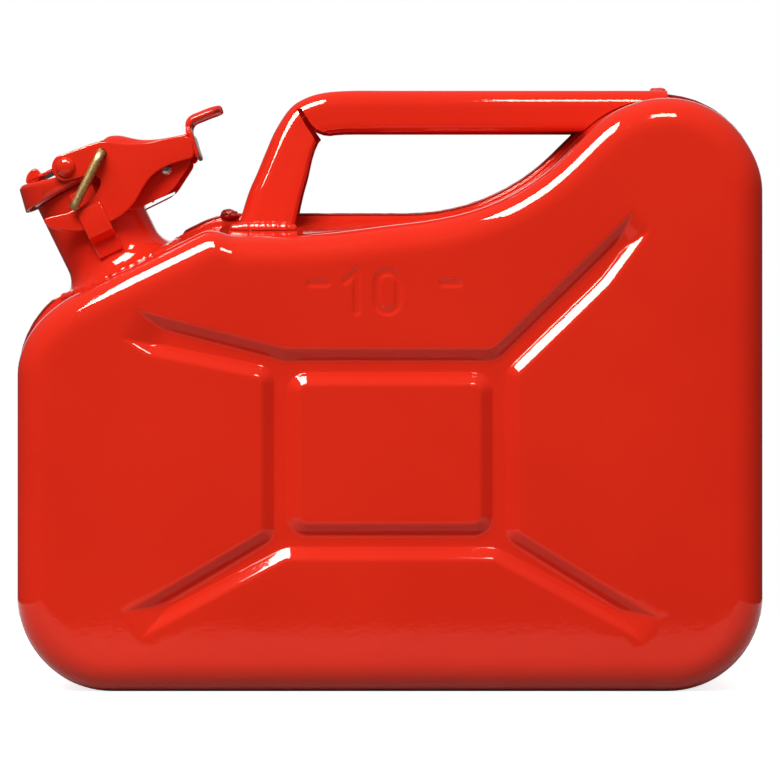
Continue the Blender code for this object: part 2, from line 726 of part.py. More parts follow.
def keeper(side, pivot):
    """A joggled strap and the lug above it, on one side of the neck."""
    word = "front" if side < 0 else "rear"
    inner = NECK_RADIUS + GAP
    outer = CHEEK_INNER + CHEEK_THICKNESS + EMBED
    t = STRAP_THICKNESS
    strap = [(inner, STRAP_FOOT), (inner + t, STRAP_FOOT), (inner + t, STRAP_BEND_LOW),
             (outer + t, STRAP_BEND_HIGH), (outer + t, STRAP_TOP), (outer, STRAP_TOP),
             (outer, STRAP_BEND_HIGH + t / 2), (inner, STRAP_BEND_LOW + t / 2)]
    lip = CHEEK_INNER - EMBED
    lug = [(inner, LUG_FOOT), (lip, LUG_FOOT), (lip, LUG_FOOT + LUG_LIP),
           (inner + t, LUG_FOOT + LUG_LIP), (inner + t, LUG_TOP), (inner, LUG_TOP)]
    half = STRAP_HALF_WIDTH
    for kind, outline in (("strap", strap), ("lug", lug)):
        name = word + "_keeper_" + kind
        across(name, [(side * y, z) for y, z in outline], -half, half, red_paint(name), pivot)


def hinge_bracket(pivot):
    """The folded bracket behind the neck that carries the lid's hinge pin."""
    paint = red_paint("hinge_bracket")
    t, half = BRACKET_THICKNESS, BRACKET_HALF
    seat = math.sqrt(NECK_RADIUS ** 2 - (half - t) ** 2) + GAP * 2
    outline = [(seat, BRACKET_LOW), (BRACKET_TOE, BRACKET_LOW),
               (BRACKET_REACH, BRACKET_REACH_UP), (BRACKET_REACH - t * 2, BRACKET_HIGH - t * 2),
               (HINGE_ALONG + t, BRACKET_HIGH), (BRACKET_ROOT + t * 2, BRACKET_HIGH - t),
               (BRACKET_ROOT, BRACKET_HIGH - t * 4), (seat, BRACKET_HIGH - t * 4)]
    bracket = plate("hinge_bracket", outline, -half, t - half, paint, pivot)
    far = plate("hinge_bracket_far", outline, half - t, half, paint, pivot)
    low = BRACKET_LOW + BRACKET_SLOT_RIM
    slot = [(BRACKET_ROOT, low), (BRACKET_ROOT + BRACKET_SLOT_LENGTH, low),
            (BRACKET_ROOT, low + BRACKET_SLOT_HEIGHT)]
    cut(far, plate("hinge_bracket_slot", slot, half - t * 2, half + t, paint, pivot))
    back = [(BRACKET_ROOT, BRACKET_HIGH - t * 5), (BRACKET_ROOT, BRACKET_HIGH - t * 10),
            (BRACKET_ROOT + t, BRACKET_HIGH - t * 10), (BRACKET_ROOT + t, BRACKET_HIGH - t * 5)]
    web = plate("hinge_bracket_web", back, t / 2 - half, half - t / 2, paint, pivot)
    fuse(bracket, far)
    fuse(bracket, web)
    hole = round_bar("hinge_bracket_hole",
                     [(HINGE_PIN_RADIUS + GAP, -half - t), (HINGE_PIN_RADIUS + GAP, half + t)],
                     12, paint, pivot, (HINGE_ALONG, 0, HINGE_UP))
    cut(bracket, hole)
    return bracket


def hinge_pin(pivot):
    """The steel pin of the lid's hinge, with a low head at each end."""
    r, head, h = HINGE_PIN_RADIUS, HINGE_HEAD_RADIUS, HINGE_HEAD_HEIGHT
    seat = BRACKET_HALF + GAP
    half = [(r, seat), (head, seat), (head, seat + h / 2), (head * 0.6, seat + h)]
    stations = [(radius, -along) for radius, along in reversed(half)] + half
    steel = finish("hinge_steel", (0.45, 0.43, 0.42), 0.4, 1.0)
    return round_bar("hinge_pin", stations, 12, steel, pivot, (HINGE_ALONG, 0, HINGE_UP))


def lid(pivot, anchor):
    """The pressed cap; its rim rises and stands out at the nose, towards -x."""
    paint = red_paint("lid")
    top = LID_PLATE_UNDER + LID_WALL
    rings = []
    for k in range(LID_SIDES):
        angle = 2 * math.pi * k / LID_SIDES
        nose = max(0.0, -math.cos(angle)) ** 1.5
        rise, reach = NOSE_RISE * nose, NOSE_REACH * nose
        foot = LID_SKIRT_FOOT - NOSE_DROP * nose
        r = LID_RADIUS
        inner = LID_RADIUS - LID_WALL
        profile = [
            (inner + reach, foot), (r + reach, foot),
            (r + reach * 0.2, top - LID_WALL + rise), (r - LID_WALL, top + rise),
            (LID_PLATE_RADIUS, top + rise * 0.9 - LID_WALL * 0.2 * nose),
            (LID_PLATE_RADIUS * 0.7, top), (LID_WALL, top),
            (LID_WALL, LID_PLATE_UNDER), (LID_PLATE_RADIUS * 0.75, LID_PLATE_UNDER),
            (LID_PLATE_RADIUS + LID_WALL, LID_PLATE_UNDER + rise * 0.55),
            (inner - reach * 0.1, LID_PLATE_UNDER + rise * 0.8)]
        rings.append([(radius * math.cos(angle) - anchor[0], radius * math.sin(angle),
                       height - anchor[1]) for radius, height in profile])
    cap = solid("lid", *skin(rings, looped=True), paint, pivot)
    plug = [[((radius * math.cos(2 * math.pi * k / 12)) - anchor[0],
              radius * math.sin(2 * math.pi * k / 12), z - anchor[1]) for k in range(12)]
            for radius, z in ((LID_WALL * 2, LID_PLATE_UNDER + EMBED / 2),
                              (LID_WALL * 2, top - EMBED / 2))]
    return fuse(cap, solid("lid_middle", *skin(plug), paint, pivot))


def lid_gasket(pivot, anchor):
    """The rubber ring under the lid."""
    high = LID_PLATE_UNDER - GAP
    low = high - GASKET_THICKNESS
    outer = GASKET_OUTER
    profile = [(GASKET_INNER, low), (outer, low), (outer, high), (GASKET_INNER, high)]
    rubber = finish("gasket_rubber", (0.03, 0.03, 0.03), 0.8)
    return turned("lid_gasket", profile, 24, rubber, pivot, centre=(-anchor[0], 0, -anchor[1]))


def arm_points(shares):
    """Points of the lid's arm in the neck's frame."""
    return [(LEVER_ALONG + x * ARM_LENGTH, LEVER_UP + z * ARM_LENGTH) for x, z in shares]


def lid_arm(pivot, anchor):
    """The folded arm that carries the lever's pin, hinges the lid and ends in a tab."""
    paint = red_paint("lid_arm")
    t, half = ARM_THICKNESS, ARM_HALF

    def local(points):
        return [(x - anchor[0], z - anchor[1]) for x, z in points]
    web = arm_points(ARM_WEB_SHARES)
    seat = LID_PLATE_UNDER + LID_WALL + GAP
    front = LEVER_ALONG - LEVER_END_RADIUS
    end = arc((HINGE_ALONG, HINGE_UP), ARM_EAR_RADIUS, math.radians(215), math.radians(385), 6)
    side_line = (list(reversed(web[1:])) + [(front, web[0][1]), (front, seat + t)]
                 + [(front + t * 3, seat), (LID_RADIUS - t * 0.2, seat),
                    (LID_RADIUS + t * 1.6, seat - t)] + end)
    arm = plate("lid_arm", local(side_line), -half, t - half, paint, pivot)
    far = plate("lid_arm_far", local(side_line), half - t, half, paint, pivot)
    crown = plate("lid_arm_crown", local(web[:7] + arm_points(reversed(ARM_UNDER_SHARES))),
                  t / 2 - half, half - t / 2, paint, pivot)
    start = web[0]
    reach, rise = LID_RADIUS * 0.28, LID_RADIUS * 0.17
    leaf = [(start[0] + t, start[1]), (start[0] - t * 0.3, start[1] + t * 0.4),
            (start[0] - t * 0.5, start[1] + rise * 0.85), (start[0] - reach * 0.35, start[1] + rise),
            (start[0] - reach * 0.75, start[1] + rise * 0.75), (start[0] - reach, start[1] + rise * 0.2),
            (start[0] - reach * 0.95, start[1] - t * 0.2), (start[0] - reach * 0.5, start[1] - t),
            (start[0] + t, start[1] - t * 0.9)]
    tab = plate("lid_arm_tab", local(leaf), -TAB_HALF_WIDTH, TAB_HALF_WIDTH, paint, pivot)
    for part in (far, crown, tab):
        fuse(arm, part)
    for word, radius, centre in (
            ("hinge", HINGE_PIN_RADIUS + GAP, (HINGE_ALONG, HINGE_UP)),
            ("lever", LEVER_PIN_RADIUS + GAP, (LEVER_ALONG, LEVER_UP))):
        x, z = local([centre])[0]
        cut(arm, round_bar("lid_arm_%s_hole" % word, [(radius, -half * 2), (radius, half * 2)],
                           12, paint, pivot, (x, 0, z)))
    return arm


def lever_points(shares):
    """Points of the lever in the neck's frame."""
    return [(LEVER_ALONG + x * LEVER_LENGTH, LEVER_UP + z * LEVER_LENGTH) for x, z in shares]


def cheek_outline():
    """One cheek of the lever, anticlockwise, in the neck's frame."""
    x, z, r = LEVER_ALONG, LEVER_UP, LEVER_END_RADIUS
    round_end = arc((x, z), r, math.radians(105), math.radians(262), 6)
    return round_end + lever_points(HOOK_SHARES + CHEEK_SHARES)


def lean_in(piece, anchor):
    """Bend the cheeks of the lever inwards towards the tail."""
    slope = (CHEEK_INNER - LEVER_TAIL_INNER) / (LEVER_TAIL - LEVER_BEND)
    work = bmesh.new()
    work.from_mesh(piece.data)
    everything = work.verts[:] + work.edges[:] + work.faces[:]
    bmesh.ops.bisect_plane(work, geom=everything, plane_co=(LEVER_BEND - anchor[0], 0, 0),
                           plane_no=(1, 0, 0))
    for vert in work.verts:
        past = max(0.0, vert.co.x + anchor[0] - LEVER_BEND)
        vert.co.y -= math.copysign(past * slope, vert.co.y)
    work.to_mesh(piece.data)
    work.free()
    return piece


def lever(pivot, anchor):
    """The cam lever: two hooked cheeks joined by a crown web, an end web and a tab."""
    paint = red_paint("lever")

    def local(points):
        return [(x - anchor[0], z - anchor[1]) for x, z in points]
    inner, outer = CHEEK_INNER, CHEEK_INNER + CHEEK_THICKNESS
    outline = local(cheek_outline())
    near = lean_in(plate("lever", outline, -outer, -inner, paint, pivot), anchor)
    far = lean_in(plate("lever_far", outline, inner, outer, paint, pivot), anchor)
    web = plate("lever_web", local(lever_points(CROWN_SHARES)), -inner - EMBED,
                inner + EMBED, paint, pivot)
    lean_in(web, anchor)
    tab = plate("lever_tab", local(lever_points(THUMB_SHARES)), -THUMB_HALF_WIDTH,
                THUMB_HALF_WIDTH, paint, pivot)
    tail_y = LEVER_TAIL_INNER + CHEEK_THICKNESS - EMBED
    end = plate("lever_end", local(lever_points(END_WEB_SHARES)), -tail_y, tail_y, paint, pivot)
    for part in (far, web, end, tab):
        fuse(near, part)
    for word, radius, along, up in (("pin", LEVER_PIN_RADIUS, LEVER_ALONG, LEVER_UP),
                                    ("wire", WIRE_RADIUS, WIRE_ALONG, WIRE_UP)):
        reach = outer + CUT_OVERRUN
        low = -reach
        high = reach if word == "pin" else 0.0
        x, z = local([(along, up)])[0]
        cut(near, round_bar("lever_%s_hole" % word, [(radius + GAP, low), (radius + GAP, high)],
                            16, paint, pivot, (x, 0, z)))
    return near


def lever_pin(pivot, anchor):
    """The cross pin of the lever, with a domed head outside each cheek."""
    seat = CHEEK_INNER + CHEEK_THICKNESS + GAP
    half = [(LEVER_PIN_RADIUS, seat)]
    for step in range(5):
        angle = math.pi / 2 * step / 5
        half.append((LEVER_HEAD_RADIUS * math.cos(angle),
                     seat + LEVER_HEAD_HEIGHT * math.sin(angle)))
    half.append((LEVER_HEAD_RADIUS * 0.12, seat + LEVER_HEAD_HEIGHT))
    stations = [(radius, -along) for radius, along in reversed(half)] + half
    return round_bar("lever_pin", stations, 16, red_paint("lever_pin"), pivot,
                     (LEVER_ALONG - anchor[0], 0, LEVER_UP - anchor[1]))


def safety_wire(pivot):
    """The bent wire: a stub through the near cheek and a long leg outside it."""
    bend, plane = WIRE_BEND_RADIUS, WIRE_PLANE
    along = Vector((math.cos(WIRE_LEG_ANGLE), 0, math.sin(WIRE_LEG_ANGLE)))
    path = [Vector((0, -WIRE_STUB_END, 0)), Vector((0, -WIRE_STUB_END - WIRE_HEAD_HEIGHT, 0)),
            Vector((0, -WIRE_STUB_END - WIRE_HEAD_HEIGHT, 0)),
            Vector((0, bend - plane, 0))]
    path[2].y -= EMBED
    for step in range(1, 6):
        angle = math.pi / 2 * step / 5
        path.append(Vector((0, bend - plane - bend * math.sin(angle), 0))
                    + along * bend * (1 - math.cos(angle)))
    path.append(Vector((0, -plane, 0)) + along * WIRE_LEG)
    radii = [WIRE_HEAD_RADIUS, WIRE_HEAD_RADIUS] + [WIRE_RADIUS] * (len(path) - 2)
    brass = finish("brass_wire", (0.38, 0.24, 0.09), 0.35, 1.0)
    return tube("safety_wire", path, radii, 10, brass, pivot)


def handle_point(shares):
    """A point near the handle's bend from its shares."""
    across_share, up_share = shares
    return (shoulder_bend_x() + FOOT_INSET + HANDLE_BEND_RUN * across_share,
            TOP_HEIGHT + (handle_top() - TOP_HEIGHT) * up_share)


def handle_stations():
    """Outer point, inner point and half width along the handle, right to left."""
    high, low = handle_top(), handle_top() - HANDLE_HEIGHT
    foot = shoulder_bend_x() + FOOT_INSET
    right, bend = BODY_WIDTH / 2 - HANDLE_END_INSET, foot + HANDLE_BEND_RUN
    rows = [((right, high), (right, low), HANDLE_HALF), ((bend, high), (bend, low), HANDLE_HALF)]
    count = len(HANDLE_BEND_SHARES)
    for i, (outer, inner) in enumerate(HANDLE_BEND_SHARES):
        spread = fade(i, 3, count + 1)
        half = HANDLE_HALF + (HANDLE_FOOT_HALF - HANDLE_HALF) * spread
        rows.append((handle_point(outer), handle_point(inner), half))
    floor = TOP_HEIGHT - HANDLE_FOOT_DEPTH
    rows.append(((foot, floor), (foot + FOOT_LENGTH, floor), HANDLE_FOOT_HALF))
    return rows


def channel_section(outer, inner, half):
    """The folded channel's section between an outer and an inner point."""
    start, end = Vector((outer[0], 0, outer[1])), Vector((inner[0], 0, inner[1]))
    depth = (end - start).length
    inward = (end - start) / depth
    t, curl, crown = HANDLE_WALL, HANDLE_CURL, HANDLE_CROWN_RADIUS
    outside = [(depth, half - curl), (depth - curl * 0.3, half - curl * 0.3),
               (depth - curl, half)]
    outside += [(crown - y, half - crown + x)
                for x, y in arc((0, 0), crown, math.radians(90 - 90), math.radians(90), 3)]
    inside = [(depth - t, half - curl), (depth - curl * 0.6, half - curl * 0.6),
              (depth - curl, half - t)]
    inside += [(crown - y, half - crown + x)
               for x, y in arc((0, 0), crown - t, 0, math.radians(90), 3)]
    right = outside + [(d, -y) for d, y in reversed(outside)]
    left = inside + [(d, -y) for d, y in reversed(inside)]
    loop = right + list(reversed(left))
    return [start + inward * d + Vector((0, y, 0)) for d, y in loop]


def handle():
    """The carrying handle: one folded channel, bent down to the shoulder at the left."""
    paint = red_paint("handle")
    rings = [channel_section(*row) for row in handle_stations()]
    grip = solid("handle", *skin(rings), paint)
    notch = [handle_point(shares) for shares in NOTCH_SHARES]
    wide = HANDLE_FOOT_HALF + CUT_OVERRUN
    cut(grip, plate("handle_notch", notch, -wide, wide, paint))
    cut(grip, body_envelope("handle_trim", GAP))
    return grip


def foot_weld(side):
    """The bead along the foot of one side wall of the handle."""
    word = "front" if side < 0 else "rear"
    name = word + "_foot_weld"
    y = side * (HANDLE_FOOT_HALF + GAP + FOOT_BEAD_RADIUS)
    drop = CROWN_DROP * (CROWN_NEAR_SHARE + (1 - CROWN_NEAR_SHARE)
                         * (abs(y) - CROWN_NEAR_DEPTH)
                         / (BODY_DEPTH / 2 - EDGE_RADIUS - CROWN_NEAR_DEPTH))
    z = TOP_HEIGHT - drop + FOOT_BEAD_RADIUS * 0.3
    count = 6
    first = shoulder_bend_x() + FOOT_INSET
    path, radii = [], []
    swell = (0.45, 0.95, 0.85, 1.0, 0.85, 0.95, 0.5)
    for i in range(count + 1):
        path.append((first + FOOT_LENGTH * i / count, y, z))
        radii.append(FOOT_BEAD_RADIUS * swell[i])
    bead = tube(name, path, radii, BEAD_SIDES, red_paint(name))
    return cut(bead, body_envelope(name + "_trim", GAP))


def blob(name, centre, radius, stretch):
    """A small round weld blob, trimmed by the body."""
    rings = []
    for step in range(1, 6):
        angle = math.pi * step / 6
        ring_radius = radius * math.sin(angle)
        rings.append([(centre[0] + ring_radius * math.cos(2 * math.pi * k / BEAD_SIDES) * stretch,
                       centre[1] - radius * 2 * math.cos(angle),
                       centre[2] + ring_radius * math.sin(2 * math.pi * k / BEAD_SIDES))
                      for k in range(BEAD_SIDES)])
    piece = solid(name, *skin(rings), red_paint(name))
    return cut(piece, body_envelope(name + "_trim", GAP))


def build():
    """Put the whole can together."""
    clear_scene()
    for name, side in (("front_shell", -1), ("rear_shell", 1)):
        half_shell(name, side)
    seam_weld()
    neck = pivot_at("neck_axis", neck_frame())
    filler_neck(neck)
    neck_weld(neck)
    mouth_ring(neck)
    breather_tube(neck)
    for side in (-1, 1):
        keeper(side, neck)
    hinge_bracket(neck)
    hinge_pin(neck)
    hinge_at = (HINGE_ALONG, HINGE_UP)
    lever_at = (LEVER_ALONG, LEVER_UP)
    lid_pivot = pivot_at("lid_hinge", Matrix.Translation((hinge_at[0], 0, hinge_at[1])), neck)
    lid(lid_pivot, hinge_at)
    lid_gasket(lid_pivot, hinge_at)
    lid_arm(lid_pivot, hinge_at)
    lever_pin(lid_pivot, hinge_at)
    step = Matrix.Translation((lever_at[0] - hinge_at[0], 0, lever_at[1] - hinge_at[1]))
    lever_pivot = pivot_at("lever_axis", step, lid_pivot)
    lever(lever_pivot, lever_at)
    step = Matrix.Translation((WIRE_ALONG - lever_at[0], 0, WIRE_UP - lever_at[1]))
    wire_pivot = pivot_at("wire_axis", step, lever_pivot)
    safety_wire(wire_pivot)
    handle()
    for side in (-1, 1):
        foot_weld(side)
    toe_x = shoulder_bend_x() + FOOT_INSET - TOE_BLOB_RADIUS * 0.6
    end_x = BODY_WIDTH / 2 - HANDLE_END_INSET + END_BLOB_RADIUS * 0.9
    blob("toe_weld", (toe_x, 0, TOP_HEIGHT + TOE_BLOB_RADIUS * 0.4), TOE_BLOB_RADIUS, 1.0)
    blob("end_weld", (end_x, 0, HORN_HEIGHT + END_BLOB_RADIUS * 0.2), END_BLOB_RADIUS, 1.0)
    bpy.context.view_layer.update()


build()
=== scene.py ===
"""A red sheet-metal jerry can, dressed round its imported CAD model.

Metres, +Z up. The front face looks along -Y and the filler neck leans towards -X.
The file follows the can as it is made: pressed halves, seam, neck, closure, handle.
"""
import math

import bmesh
import bpy
import numpy as np
from mathutils import Matrix, Vector, geometry, noise


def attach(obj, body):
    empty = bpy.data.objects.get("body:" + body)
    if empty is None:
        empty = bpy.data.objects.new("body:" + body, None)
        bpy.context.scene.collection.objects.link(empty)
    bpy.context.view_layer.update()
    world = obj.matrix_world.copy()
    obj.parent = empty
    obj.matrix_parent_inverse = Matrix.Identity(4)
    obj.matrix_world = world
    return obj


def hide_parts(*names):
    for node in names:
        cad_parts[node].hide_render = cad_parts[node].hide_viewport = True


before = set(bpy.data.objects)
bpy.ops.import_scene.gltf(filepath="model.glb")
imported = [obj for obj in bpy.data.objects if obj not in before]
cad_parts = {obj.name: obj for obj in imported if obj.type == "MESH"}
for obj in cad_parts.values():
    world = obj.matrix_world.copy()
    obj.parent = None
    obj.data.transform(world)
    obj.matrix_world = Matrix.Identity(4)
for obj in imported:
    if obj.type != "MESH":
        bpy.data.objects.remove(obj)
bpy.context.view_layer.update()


# Pressed halves. Each is one deep-drawn steel sheet with a small outward flange, a
# crown along the top and a pressed cross on its face. The finished can is dipped and
# sprayed in one glossy red enamel, so every other painted piece uses this finish too;
# a darker red of the same enamel is painted shade on a few shaded pieces.
BODY_WIDTH = 0.3476             # over both ends, at the seam, without the flange
BODY_DEPTH = 0.140              # front face to rear face
TOP_HEIGHT = 0.2205             # flat top under the handle
HORN_HEIGHT = 0.2771            # top of the raised right-hand end
SHELL_WALL = 0.0010
CORNER_RADIUS = 0.0456          # the four corners of the outline
SHOULDER_RADIUS = 0.040         # bend from the flat top down to the shoulder
SHOULDER_TILT = math.radians(26.2)
SHOULDER_RUN = 0.0935           # from the left end to where shoulder and flat top would meet
HORN_FLAT = 0.0676              # from the right end to where the rising line would end
SCOOP_RUN = 0.0566              # width of the rising line between flat top and horn
SCOOP_RADIUS = 0.100
HORN_RADIUS = 0.052
EDGE_RADIUS = 0.015             # rounding round the front and rear faces
SEAM_GAP = 0.00015              # half of the air between the two flanges
FLANGE_HEIGHT = 0.0012
FLANGE_THICKNESS = 0.0010
FLANGE_ROOT = 0.00035           # fillet where the flange leaves the wall
FLANGE_EASE = 0.00002           # how much lower the flange is where it looks up
SEAM_RECESS = 0.0028            # how far the seam is sunk under the base
SEAM_RECESS_HALF = 0.0060
SEAM_RECESS_EASE = 0.25         # share of its half width over which that groove runs out
SIDE_DRAFT = 0.0018             # how much a half narrows from seam to face
CROWN_STEP = 0.0022             # how far the top falls next to the seam
CROWN_STEP_LENGTH = 0.0050      # the distance over which most of that fall is made
CROWN_SLOPE = 0.145             # the top's slope beyond it
CROWN_FADE = 0.018              # length over which the crown changes
CROWN_END = (-0.050, 0.030)     # where along the can the crown runs out
CROWN_FACING = 0.6              # how far up a wall looks where it has its full crown
SHOULDER_CROWN_SHARE = 0.36     # crown on the shoulder, as a share of the top's
END_CROWN_SHARE = 0.16          # crown at the left end and on the horn
ARC_STEP = math.radians(4.0)    # turn between two points of a bend
RUN_STEP = 0.008                # distance between two points of a straight
EDGE_STEPS = 14
SEAM_DEPTHS = (0.0019, 0.0028, 0.0038, 0.0046, 0.0052, 0.0058, 0.0064, 0.0070, 0.0076,
               0.010, 0.014, 0.019, 0.025, 0.032, 0.040, 0.048)


def rounded_outline(corners, arc_step=ARC_STEP, run_step=RUN_STEP):
    """Closely spaced points and outward normals round a closed outline, anticlockwise."""
    found = []
    total = len(corners)
    for i, (point, radius) in enumerate(corners):
        here = Vector(point)
        arriving = (here - Vector(corners[i - 1][0])).normalized()
        leaving = (Vector(corners[(i + 1) % total][0]) - here).normalized()
        turn = math.atan2(arriving.x * leaving.y - arriving.y * leaving.x,
                          arriving.dot(leaving))
        sign = 1.0 if turn > 0 else -1.0
        normal = Vector((arriving.y, -arriving.x))
        start = here - arriving * radius * math.tan(abs(turn) / 2)
        centre = start - normal * radius * sign
        steps = max(2, round(abs(turn) / arc_step))
        for step in range(steps + 1):
            angle = turn * step / steps
            direction = Vector((normal.x * math.cos(angle) - normal.y * math.sin(angle),
                                normal.x * math.sin(angle) + normal.y * math.cos(angle)))
            found.append((centre + direction * radius * sign, direction))
    dense = []
    for (here, normal), (there, _) in zip(found, found[1:] + found[:1]):
        parts = max(1, round((there - here).length / run_step))
        dense += [(here.lerp(there, k / parts), normal) for k in range(parts)]
    return dense


def body_outline():
    """The can's outline at the seam."""
    half = BODY_WIDTH / 2
    left_corner = TOP_HEIGHT - SHOULDER_RUN * math.tan(SHOULDER_TILT)
    horn = half - HORN_FLAT
    return rounded_outline([
        ((-half, 0), CORNER_RADIUS), ((half, 0), CORNER_RADIUS),
        ((half, HORN_HEIGHT), CORNER_RADIUS), ((horn, HORN_HEIGHT), HORN_RADIUS),
        ((horn - SCOOP_RUN, TOP_HEIGHT), SCOOP_RADIUS),
        ((SHOULDER_RUN - half, TOP_HEIGHT), SHOULDER_RADIUS),
        ((-half, left_corner), CORNER_RADIUS)])


def fade(value, start, end):
    """0 before start, 1 after end, smooth between."""
    share = min(1.0, max(0.0, (value - start) / (end - start)))
    return share * share * (3 - 2 * share)


def crown_at(x, up):
    """How much of the top's crown applies at a point of the outline."""
    left, bend = -BODY_WIDTH / 2, SHOULDER_RUN - BODY_WIDTH / 2
    share = END_CROWN_SHARE
    share += (SHOULDER_CROWN_SHARE - share) * fade(x, left, left + CROWN_FADE)
    share += (1.0 - share) * fade(x, bend - CROWN_FADE / 2, bend + CROWN_FADE / 2)
    share += (END_CROWN_SHARE - share) * fade(x, *CROWN_END)
    return share * fade(up, 0.0, CROWN_FACING)


def drawn_row(depth, inward=0.0):
    """Side, top and base offsets of the drawn wall at a distance from the seam."""
    drop = CROWN_STEP * (1 - math.exp(-depth / CROWN_STEP_LENGTH)) + CROWN_SLOPE * depth
    side = SIDE_DRAFT * depth / (BODY_DEPTH / 2 - EDGE_RADIUS)
    sunk = SEAM_RECESS * (1 - fade(depth, SEAM_RECESS_HALF * (1 - SEAM_RECESS_EASE),
                                   SEAM_RECESS_HALF * (1 + SEAM_RECESS_EASE)))
    return -side - inward, -drop - inward, -sunk - inward


def shell_rows(grow):
    """Stations of the shell's skin from the seam to the edge of its flat face."""
    flat_edge = BODY_DEPTH / 2 - EDGE_RADIUS
    rows = [(depth,) + drawn_row(depth) for depth in SEAM_DEPTHS]
    for step in range(EDGE_STEPS + 1):
        angle = math.pi / 2 * step / EDGE_STEPS
        radius = EDGE_RADIUS + grow
        offsets = drawn_row(flat_edge, radius * (1 - math.cos(angle)))
        rows.append((flat_edge + radius * math.sin(angle),) + offsets)
    return [(depth, side + grow, top + grow, base + grow) for depth, side, top, base in rows]


def flange_rows():
    """Stations round the flange's edge and down to its root."""
    tip, root = FLANGE_HEIGHT, FLANGE_ROOT
    back = SEAM_GAP + FLANGE_THICKNESS
    shapes = ((SEAM_GAP, tip * 0.85), (SEAM_GAP + back * 0.15, tip), (back * 0.8, tip),
              (back, tip * 0.85), (back * 1.02, root * 1.6), (back * 1.15, root * 0.5))
    return [(depth, up, up - FLANGE_EASE, up - SEAM_RECESS) for depth, up in shapes]


def body_ring(outline, side, row):
    """One ring of a shell on the front (-1) or rear (1) half."""
    depth, side_offset, top_offset, base_offset = row
    ring = []
    for point, normal in outline:
        offset = side_offset + (top_offset - side_offset) * crown_at(point.x, normal.y)
        offset += (base_offset - side_offset) * max(0.0, -normal.y)
        place = point + normal * offset
        ring.append((place.x, side * depth, place.y))
    return ring


# The cross, the ring round the centre panel and the number, pressed into the face.
GROOVE_DEPTH = 0.0045
FACE_FILLET = 0.0022            # length of the soft bend from the face into a groove
FLOOR_FILLET = 0.0009           # and of the tight one onto its floor
WALL_SLOPE = 0.80               # how steep a groove's wall is
ARM_TAPER = 0.021               # length over which an arm runs out at its tip
PATTERN_HEIGHT = 0.1096         # middle of the pattern above the base
PANEL_HALF_WIDTH = 0.0445
PANEL_HALF_HEIGHT = 0.0348
PANEL_CORNER = 0.0065
GROOVE_CORNERS = (
    ((-0.0480, 0.0641), 0.008), ((0.0480, 0.0641), 0.008), ((0.1231, 0.0237), 0.0014),
    ((0.1218, 0.0315), 0.0014), ((0.0560, 0.0721), 0.006), ((0.0560, 0.1471), 0.006),
    ((0.0995, 0.1895), 0.030), ((0.1155, 0.2117), 0.0014), ((0.1160, 0.2214), 0.0014),
    ((0.0834, 0.1895), 0.020), ((0.0480, 0.1551), 0.008), ((-0.0480, 0.1551), 0.008),
    ((-0.1205, 0.1738), 0.0014), ((-0.1231, 0.1661), 0.0014), ((-0.1097, 0.1579), 0.006),
    ((-0.0560, 0.1471), 0.006), ((-0.0560, 0.0721), 0.006), ((-0.1200, 0.0345), 0.0014),
    ((-0.1214, 0.0251), 0.0014),
)
ARM_TIPS = ((0.1213, 0.0283), (0.1180, 0.2185), (-0.1219, 0.1697), (-0.1193, 0.0305))
GROOVE_SPACING = 0.020
GROOVE_TURN = math.radians(12)
MARK_DEPTH = 0.0006
MARK_RAMP = 0.0014              # width of the number's sloping edge
MARK_HALF_STROKE = 0.0015
ZERO_MIDDLE = ((-0.0011, 0.1799), (-0.0011, 0.1883))
ZERO_RADIUS = 0.0049
ONE_BAR = ((-0.0152, 0.1752), (-0.0152, 0.1933))
ONE_BAR_SHARE = 1.05            # half stroke of the one's bar, as a share of the others
ONE_FLAG = ((-0.0158, 0.1930), (-0.0204, 0.1889))
ONE_FLAG_SHARE = 0.85           # and of its flag
DASH_MIDDLES = (-0.0326, 0.0279)
DASH_HEIGHT = 0.1880
DASH_HALF_LENGTH = 0.0036
PANEL_CORNERS = [((sx * PANEL_HALF_WIDTH, PATTERN_HEIGHT + sz * PANEL_HALF_HEIGHT),
                  PANEL_CORNER) for sx, sz in ((-1, -1), (1, -1), (1, 1), (-1, 1))]
GROOVE_LINE = [tuple(point) for point, _ in
               rounded_outline(GROOVE_CORNERS, GROOVE_TURN, GROOVE_SPACING)]


def loop_distance(points, loop):
    """Signed distance of many points to a closed loop, positive inside."""
    starts = np.array(loop)
    ends = np.roll(starts, -1, axis=0)
    nearest = np.full(len(points), np.inf)
    inside = np.zeros(len(points), bool)
    for a, b in zip(starts, ends):
        along = b - a
        share = np.clip(((points - a) @ along) / (along @ along), 0, 1)
        gap = points - a - share[:, None] * along
        nearest = np.minimum(nearest, np.hypot(gap[:, 0], gap[:, 1]))
        crosses = (a[1] > points[:, 1]) != (b[1] > points[:, 1])
        at = a[0] + (points[:, 1] - a[1]) * along[0] / (along[1] if along[1] else 1e-12)
        inside ^= crosses & (points[:, 0] < at)
    return np.where(inside, nearest, -nearest)


def smooth(share):
    """A smooth step of many shares at once."""
    held = np.clip(share, 0, 1)
    return held * held * (3 - 2 * held)


def panel_distance(points):
    """Signed distance to the centre panel, positive outside."""
    gap = np.abs(points - (0.0, PATTERN_HEIGHT))
    gap -= (PANEL_HALF_WIDTH - PANEL_CORNER, PANEL_HALF_HEIGHT - PANEL_CORNER)
    outside = np.hypot(*np.maximum(gap, 0).T)
    return outside + np.minimum(gap.max(axis=1), 0) - PANEL_CORNER


def stroke_distance(points, start, end, half):
    """Signed distance to a round-ended stroke, negative inside."""
    a, along = np.array(start), np.array(end) - np.array(start)
    share = np.clip(((points - a) @ along) / (along @ along), 0, 1)
    gap = points - a - share[:, None] * along
    return np.hypot(gap[:, 0], gap[:, 1]) - half


